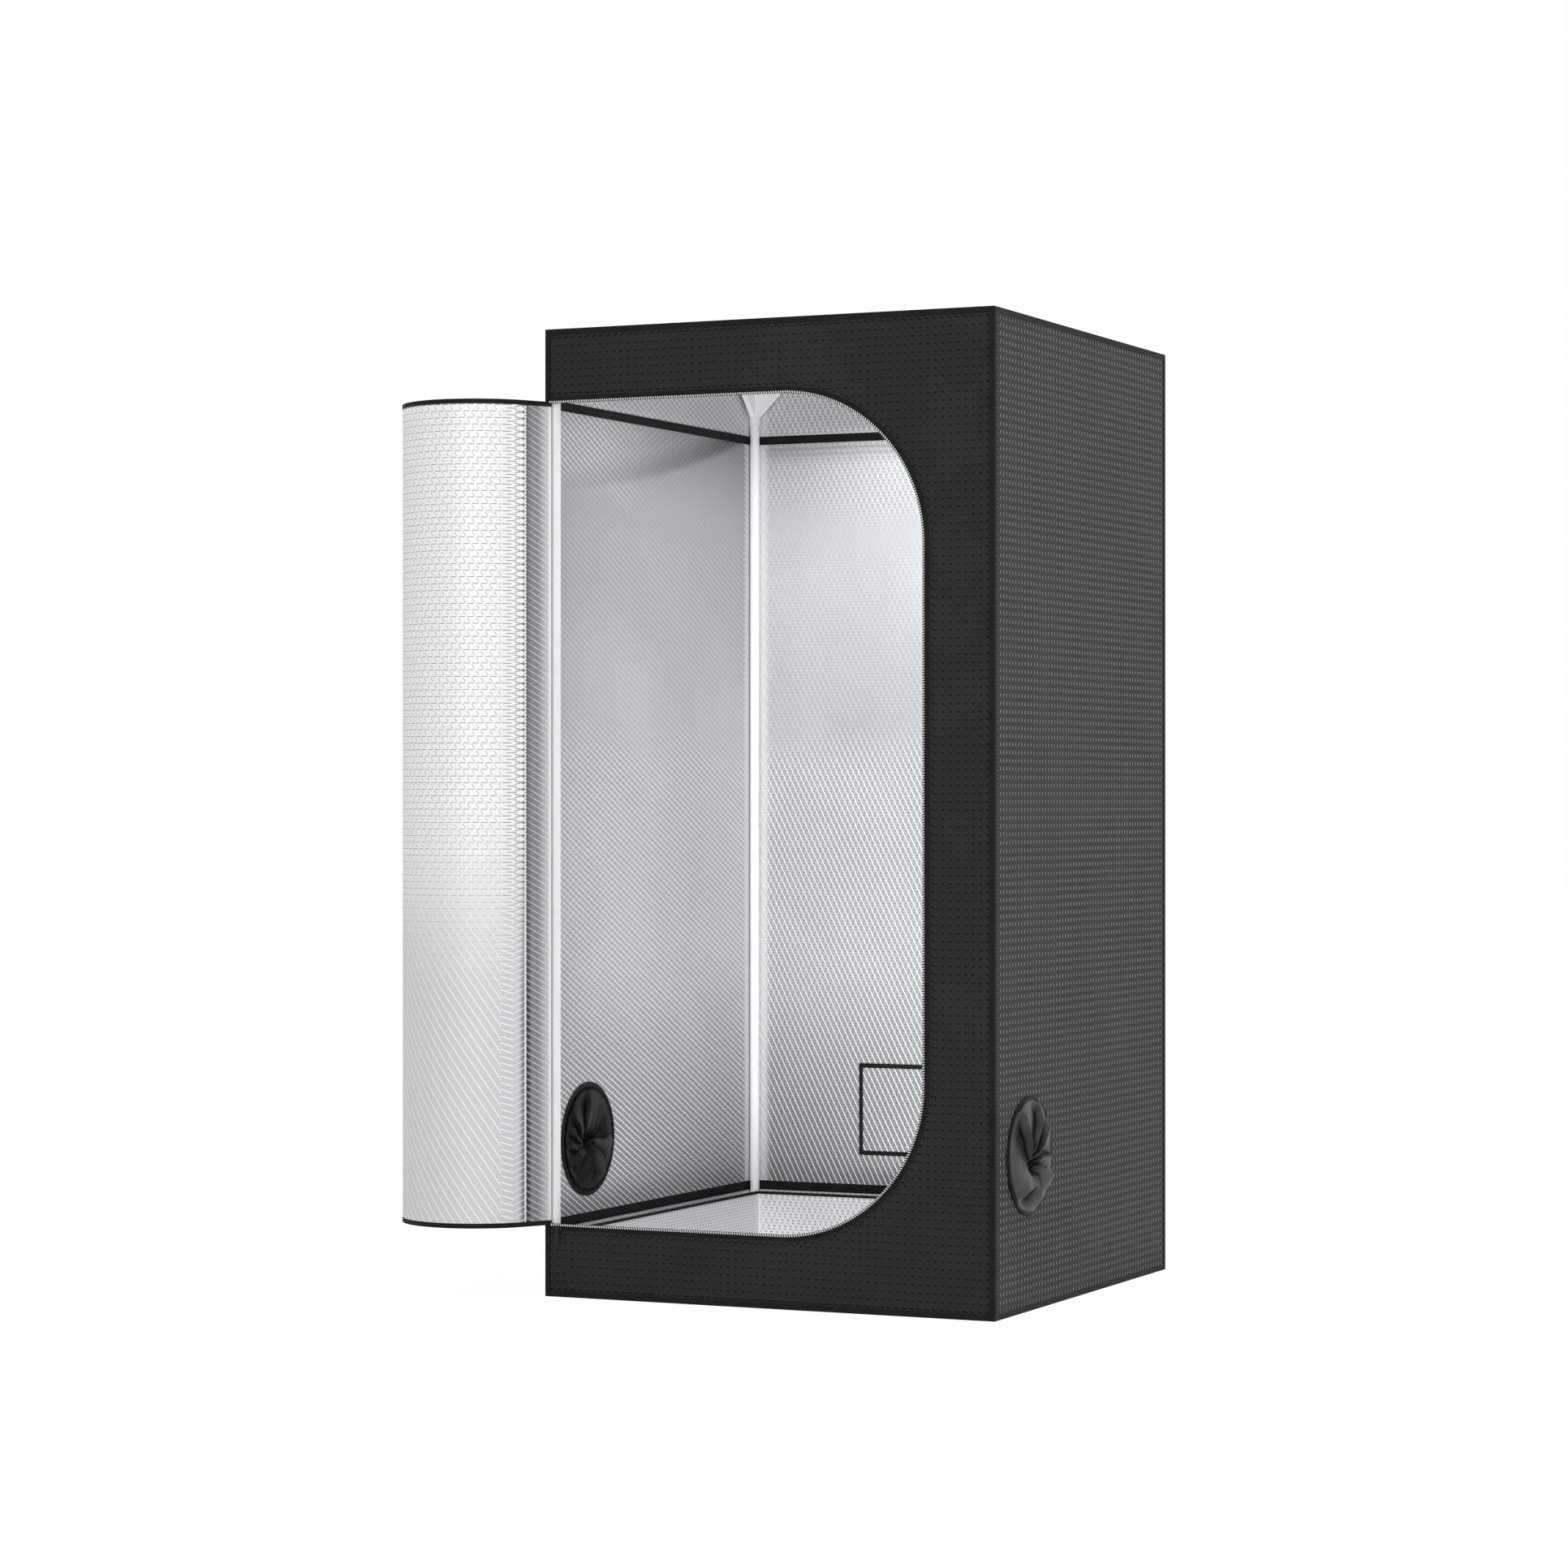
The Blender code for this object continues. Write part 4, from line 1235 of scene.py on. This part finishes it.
def lay_folds(folds):
    """Each fold's start, width, height and twist, and the twist of the fold after it."""
    total = sum(width for width, _, _ in folds)
    laid, start = [], 0.0
    for (width, weight, twist), (_, _, next_twist) in zip(folds, folds[1:] + folds[:1]):
        laid.append((start, width / total * math.tau, weight, twist, next_twist))
        start += width / total * math.tau
    return laid


def fold_height(angle, share, laid):
    """Height of the folds at an angle, a share of the way from the rim to the knot."""
    reach = share ** 1.4
    for start, width, weight, twist, next_twist in laid:
        wide = width + (next_twist - twist) * reach
        offset = (angle - (start + twist * reach)) % math.tau
        if offset < wide:
            return sock_height(share, offset / wide, weight)
    return 0.0


def make_sock(name, node, centre, outward, shape, folds, finish):
    """Cloth gathered to an off-centre knot, in uneven folds that overlap one another."""
    rim, core, bulge, depth, hollow, knot = shape
    laid = lay_folds(folds)
    turn = facing(outward)
    # The knot's place is given as seen from outside, across and up
    up_here = turn.to_3x3().inverted() @ Vector(BACK if outward[2] else UP)
    side_here = Vector(UP).cross(up_here) * -1
    points, places = [], []
    for ring in range(SOCK_RINGS + 1):
        share = ring / SOCK_RINGS
        radius = rim + (core - rim) * share
        drift = share ** 1.5
        middle = side_here * knot[0] * drift + up_here * knot[1] * drift
        crown = bulge * (1 - (1 - share) ** 2.4) * (1 - 0.3 * share)
        sink = hollow * max(share - 0.78, 0) ** 1.2 / 0.22 ** 1.2
        for step in range(SOCK_STEPS):
            angle = math.tau * step / SOCK_STEPS
            height = fold_height(angle, share, laid)
            places.append((height, share))
            sway = angle + 0.05 * math.sin(5 * angle + 9 * share) * share * (1 - share) * 4
            ripple = 0.0006 * math.sin(14 * angle + 7 * share) * share
            lift = crown + depth * (height - 0.45) * min(share * 6, 1) + ripple - sink
            points.append(middle + side_here * (radius * math.cos(sway))
                          + up_here * (radius * math.sin(sway)) + Vector((0, 0, lift)))
    last = SOCK_RINGS * SOCK_STEPS
    faces = quads(SOCK_RINGS + 1, SOCK_STEPS, ring=True)
    faces.append(tuple(range(last, last + SOCK_STEPS)))
    sock = add_mesh(name, points, faces)
    map_points(sock, places)
    face_outward(sock)
    thicken(sock, 0.0008, -1)
    apply_all(sock)
    sock.matrix_world = Matrix.Translation(centre) @ turn
    settle(sock)
    smooth(sock, 70)
    dress(sock, "sock_cloth", finish, node=node)
    return sock


def make_rim(name, node, centre, outward):
    """Turned ring with a groove for the panel's edge, rounded at its lips."""
    around, soft = 96, 0.0007
    lip, hub, bore = PORT_RIM, PORT_RADIUS - SEAT_GAP, PORT_RADIUS - 0.0043
    inner = CLOTH / 2 + SEAT_GAP
    outer = inner + RIM_THICKNESS
    profile = [(lip - soft, outer), (lip, outer - soft), (lip, inner), (hub, inner),
               (hub, -inner), (lip, -inner), (lip, -outer + soft), (lip - soft, -outer),
               (bore, -outer), (bore, outer)]
    points = []
    for step in range(around):
        angle = math.tau * step / around
        points += [(r * math.cos(angle), r * math.sin(angle), h) for r, h in profile]
    ring = add_mesh(name, points, quads(around, len(profile), ring=True, loop=True))
    face_outward(ring)
    ring.matrix_world = Matrix.Translation(centre) @ facing(outward)
    settle(ring)
    smooth(ring, 40)
    dress(ring, "black_trim", TAPE, node=node)


def make_ports():
    wall = HALF - CLOTH / 2
    seat = CLOTH / 2 + SEAT_GAP + RIM_THICKNESS + 0.0012
    kinds = (("outside", "outer", 1, OUTSIDE_SHAPE, OUTSIDE_FOLDS, NYLON, (0.60, 0.074)),
             ("inside", "inner", -1, INSIDE_SHAPE, INSIDE_FOLDS, NYLON_INSIDE_SHADED, (0.56, 0.058)))
    for name, centre, outward in (("left_port", (-wall, PORT_Y, PORT_Z), (-1, 0, 0)),
                                  ("right_port", (wall, PORT_Y, PORT_Z), RIGHT),
                                  ("roof_port", (*ROOF_PORT, HEIGHT - CLOTH / 2), UP)):
        make_rim(f"{name}_rim", f"{name}_collar", centre, outward)
        for side, node, sign, shape, folds, finish, flat in kinds:
            way = Vector(outward) * sign
            sock = make_sock(f"{name}_sock_{side}", f"{name}_{node}_sock",
                             Vector(centre) + way * seat, way, shape, folds, finish)


# Rear vent

def make_vent():
    inner_face = DEPTH / 2 - CLOTH - SEAT_GAP
    flap = add_box("vent_flap_cloth", (-FLAP_HALF, inner_face - CLOTH, FLAP_LOW),
                   (FLAP_HALF, inner_face, FLAP_HIGH))
    lay_out(flap, RIGHT, UP)
    two_sided(flap, BACK, CLOTH_BLACK, FILM)
    dress(flap, "mylar_lining", body="vent_flap", node="rear_vent_flap")
    border = make_ring("vent_flap_binding", (0, inner_face - CLOTH / 2 - 0.0002, FLAP_MIDDLE),
                       (2 * FLAP_HALF + RING_PROUD, FLAP_TALL + RING_PROUD), WINDOW_BORDER,
                       CLOTH + RING_PROUD, "Y", body="vent_flap")
    make_ring("vent_frame_tape", (0, DEPTH / 2 + 0.0012, FLAP_MIDDLE), (2 * FLAP_HALF, FLAP_TALL),
              WINDOW_BORDER + 0.004, 0.0018, "Y", node="rear_vent_frame")


def make_net():
    """Insect net: strands over and under, sewn into the vent's window."""
    wide = FLAP_HALF - WINDOW_BORDER - 0.0004
    tall = FLAP_TALL / 2 - WINDOW_BORDER - 0.0004
    pitch, strand, lift, centre_y = 0.0035, 0.0007, 0.0002, DEPTH / 2 - CLOTH / 2
    columns, rows = int(2 * wide / pitch), int(2 * tall / pitch)
    xs = [-wide + 2 * wide * column / columns for column in range(columns + 1)]
    zs = [-tall + 2 * tall * row / rows for row in range(rows + 1)]
    lines = [((x, -tall), (x, tall), strand / 2, 0, lift) for x in xs]
    lines += [((-wide, z), (wide, z), 0, strand / 2, -lift) for z in zs]
    points, faces = [], []
    for start, end, half_x, half_z, rise in lines:
        faces += tube(2, 4, len(points))
        for x, z in (start, end):
            for a, b in ((-1, -1), (1, -1), (1, 1), (-1, 1)):
                points.append((x + a * half_x, centre_y + rise + b * strand / 3,
                               FLAP_MIDDLE + z + a * half_z))
    net = add_mesh("vent_net", points, faces)
    face_outward(net)
    dress(net, "vent_net", THREAD_BLACK, node="rear_vent_net")


# Poles and their fittings

def add_pole(node):
    """Smooth round tube in place of a packed pole, with its ends turned in."""
    wall, hollow = 0.0012, 0.004
    low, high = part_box(node)
    size = high - low
    axis = list(size).index(max(size))
    pole = add_shape(f"pole_{node}", bpy.ops.mesh.primitive_cylinder_add, vertices=40,
                     radius=BAR_RADIUS if node.startswith("hanging_bar") else POLE_RADIUS,
                     depth=size[axis], location=(low + high) / 2, rotation=AXIS_TURNS["XYZ"[axis]])
    open_mesh(pole, lambda face: len(face.vertices) > 4)
    bpy.ops.mesh.inset(thickness=wall)
    bpy.ops.mesh.extrude_region_shrink_fatten(TRANSFORM_OT_shrink_fatten={"value": -hollow})
    close_mesh()
    smooth(pole, 40)
    dress(pole, "pole_steel", POLE, body=frame["nodes"][node]["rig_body"], node=node)


def make_poles():
    for name in frame["nodes"]:
        if "rail" in name or "upright" in name or name.startswith("hanging_bar"):
            add_pole(name)


def make_sleeve_rings():
    """Thin bead round the end of each sleeve of the corner fittings."""
    along, centre = HALF - SLEEVE_REACH, HALF - POLE_INSET
    beads = []
    for x, y, z, up in CORNERS:
        end = SLEEVE_REACH if up > 0 else HEIGHT - SLEEVE_REACH
        beads += [((x * along, y * centre, z), "X"), ((x * centre, y * along, z), "Y"),
                  ((x * centre, y * centre, end), "Z")]
    for number, (place, axis) in enumerate(beads, 1):
        bead = add_shape(f"sleeve_bead_{number:02d}", bpy.ops.mesh.primitive_torus_add,
                         location=place, rotation=AXIS_TURNS[axis], major_radius=SLEEVE_RADIUS,
                         minor_radius=0.0007, major_segments=32, minor_segments=8)
        smooth(bead, 60)
        dress(bead, "corner_plastic", PLASTIC)


def make_gusset_borders():
    """Raised border along the slanted edge of each gusset, on its inner face."""
    end_inset, half_thick, half_wide = 0.0105, 0.0007, 0.0022
    inner_face = HALF - POLE_INSET - GUSSET_THICKNESS / 2
    middle = GUSSET_LEG / 2
    across = HALF - POLE_INSET - middle
    half_long = (GUSSET_LEG - 2 * end_inset) * math.sqrt(2) / 2
    plates = product(CORNERS, ("front", "side"))
    for number, ((x, y, z, up), plate) in enumerate(plates, 1):
        border = add_box(f"gusset_border_{number:02d}", (-half_long, -half_thick, -half_wide),
                         (half_long, half_thick, half_wide))
        round_edges(border, 0.0003, 2)
        apply_all(border)
        if plate == "front":
            turn = Matrix.Rotation(math.radians(-45 * up * x), 4, "Y")
            place = (x * across, y * inner_face, z + up * middle)
        else:
            turn = (Matrix.Rotation(y * QUARTER, 4, "Z")
                    @ Matrix.Rotation(math.radians(-45 * up), 4, "Y"))
            place = (x * inner_face, y * across, z + up * middle)
        border.matrix_world = Matrix.Translation(place) @ turn
        settle(border)
        smooth(border, 40)
        dress(border, "corner_plastic", PLASTIC)


def finish_packed_nodes():
    """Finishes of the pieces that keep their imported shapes."""
    for name, node in frame["nodes"].items():
        if name.startswith("corner_"):
            set_materials(node, PLASTIC)
        elif name.startswith("zip_"):
            set_materials(node, METAL)
        elif "bar" in name:
            set_materials(node, POLE)


bpy.context.scene.view_settings.view_transform = "Standard"
CLOTH_BLACK = dimpled_cloth("dimpled_cloth", (0.0004, 0.0024, 0.0018),
                            (-0.0026, 0.0020, 0.0011), (0.0185, 0.0255, 0.038))
# Painted lit copy of the cloth for the side walls: its ground and the painted highlights of its
# bumps are lighter
CLOTH_SIDE_LIT = dimpled_cloth("dimpled_cloth_side_lit", (0.0021, 0.0042, 0.0023),
                           (-0.0021, 0.0036, 0.0020), (0.0265, 0.0355, 0.190))
FILM = lining_film()
DOOR_FILM = door_film()
TAPE = ribbed_tape("ribbed_tape", 0.13)
TAPE_INSIDE = ribbed_tape("ribbed_tape_inside", 0.10)
NYLON = satin_nylon("satin_nylon", (0.020, 0.020, 0.0205), (0.030, 0.030, 0.0305), 0.36)
# Painted shade: a darker, duller copy of the same nylon for the socks inside
NYLON_INSIDE_SHADED = satin_nylon("satin_nylon_inside_shaded", grey(0.003), grey(0.005),
                           0.13)
POLE = hard_finish("powder_white", (0.38, 0.0, 0.45), ((0.88, 0.88, 0.885), (0.91, 0.91, 0.915)),
                   (14.0, 2.0, 0.3, 0.7), (700.0, 2.0, 0.00015, 0.35))
PLASTIC = hard_finish("moulded_white", (0.48, 0.0, 0.40), (grey(0.92), grey(0.95)),
                      (25.0, 2.0, 0.3, 0.7), (1300.0, 3.0, 0.00012, 0.5))
COIL = hard_finish("coil_nylon", (0.36, 0.0, 0.5), (grey(0.66), grey(0.80)),
                   (400.0, 2.0, 0.3, 0.7))
THREAD_BLACK = thread("thread_black", 0.0010, 0.0020)
THREAD_WHITE = thread("thread_white", 0.55, 0.75)
METAL = hard_finish("slider_metal", (0.42, 0.6, 0.5),
                    (grey(0.012), grey(0.035)),
                    (260.0, 4.0, 0.45, 0.75), (1500.0, 3.0, 0.0001, 0.3))

place_camera()
light_studio()
lay_floor()
finish_packed_nodes()
make_poles()
make_sleeve_rings()
make_gusset_borders()
make_panels()
make_bindings()
make_zip()
make_stitches()
make_inner_tapes()
make_tray()
make_tray_stitches()
make_door()
make_ports()
make_vent()
make_net()
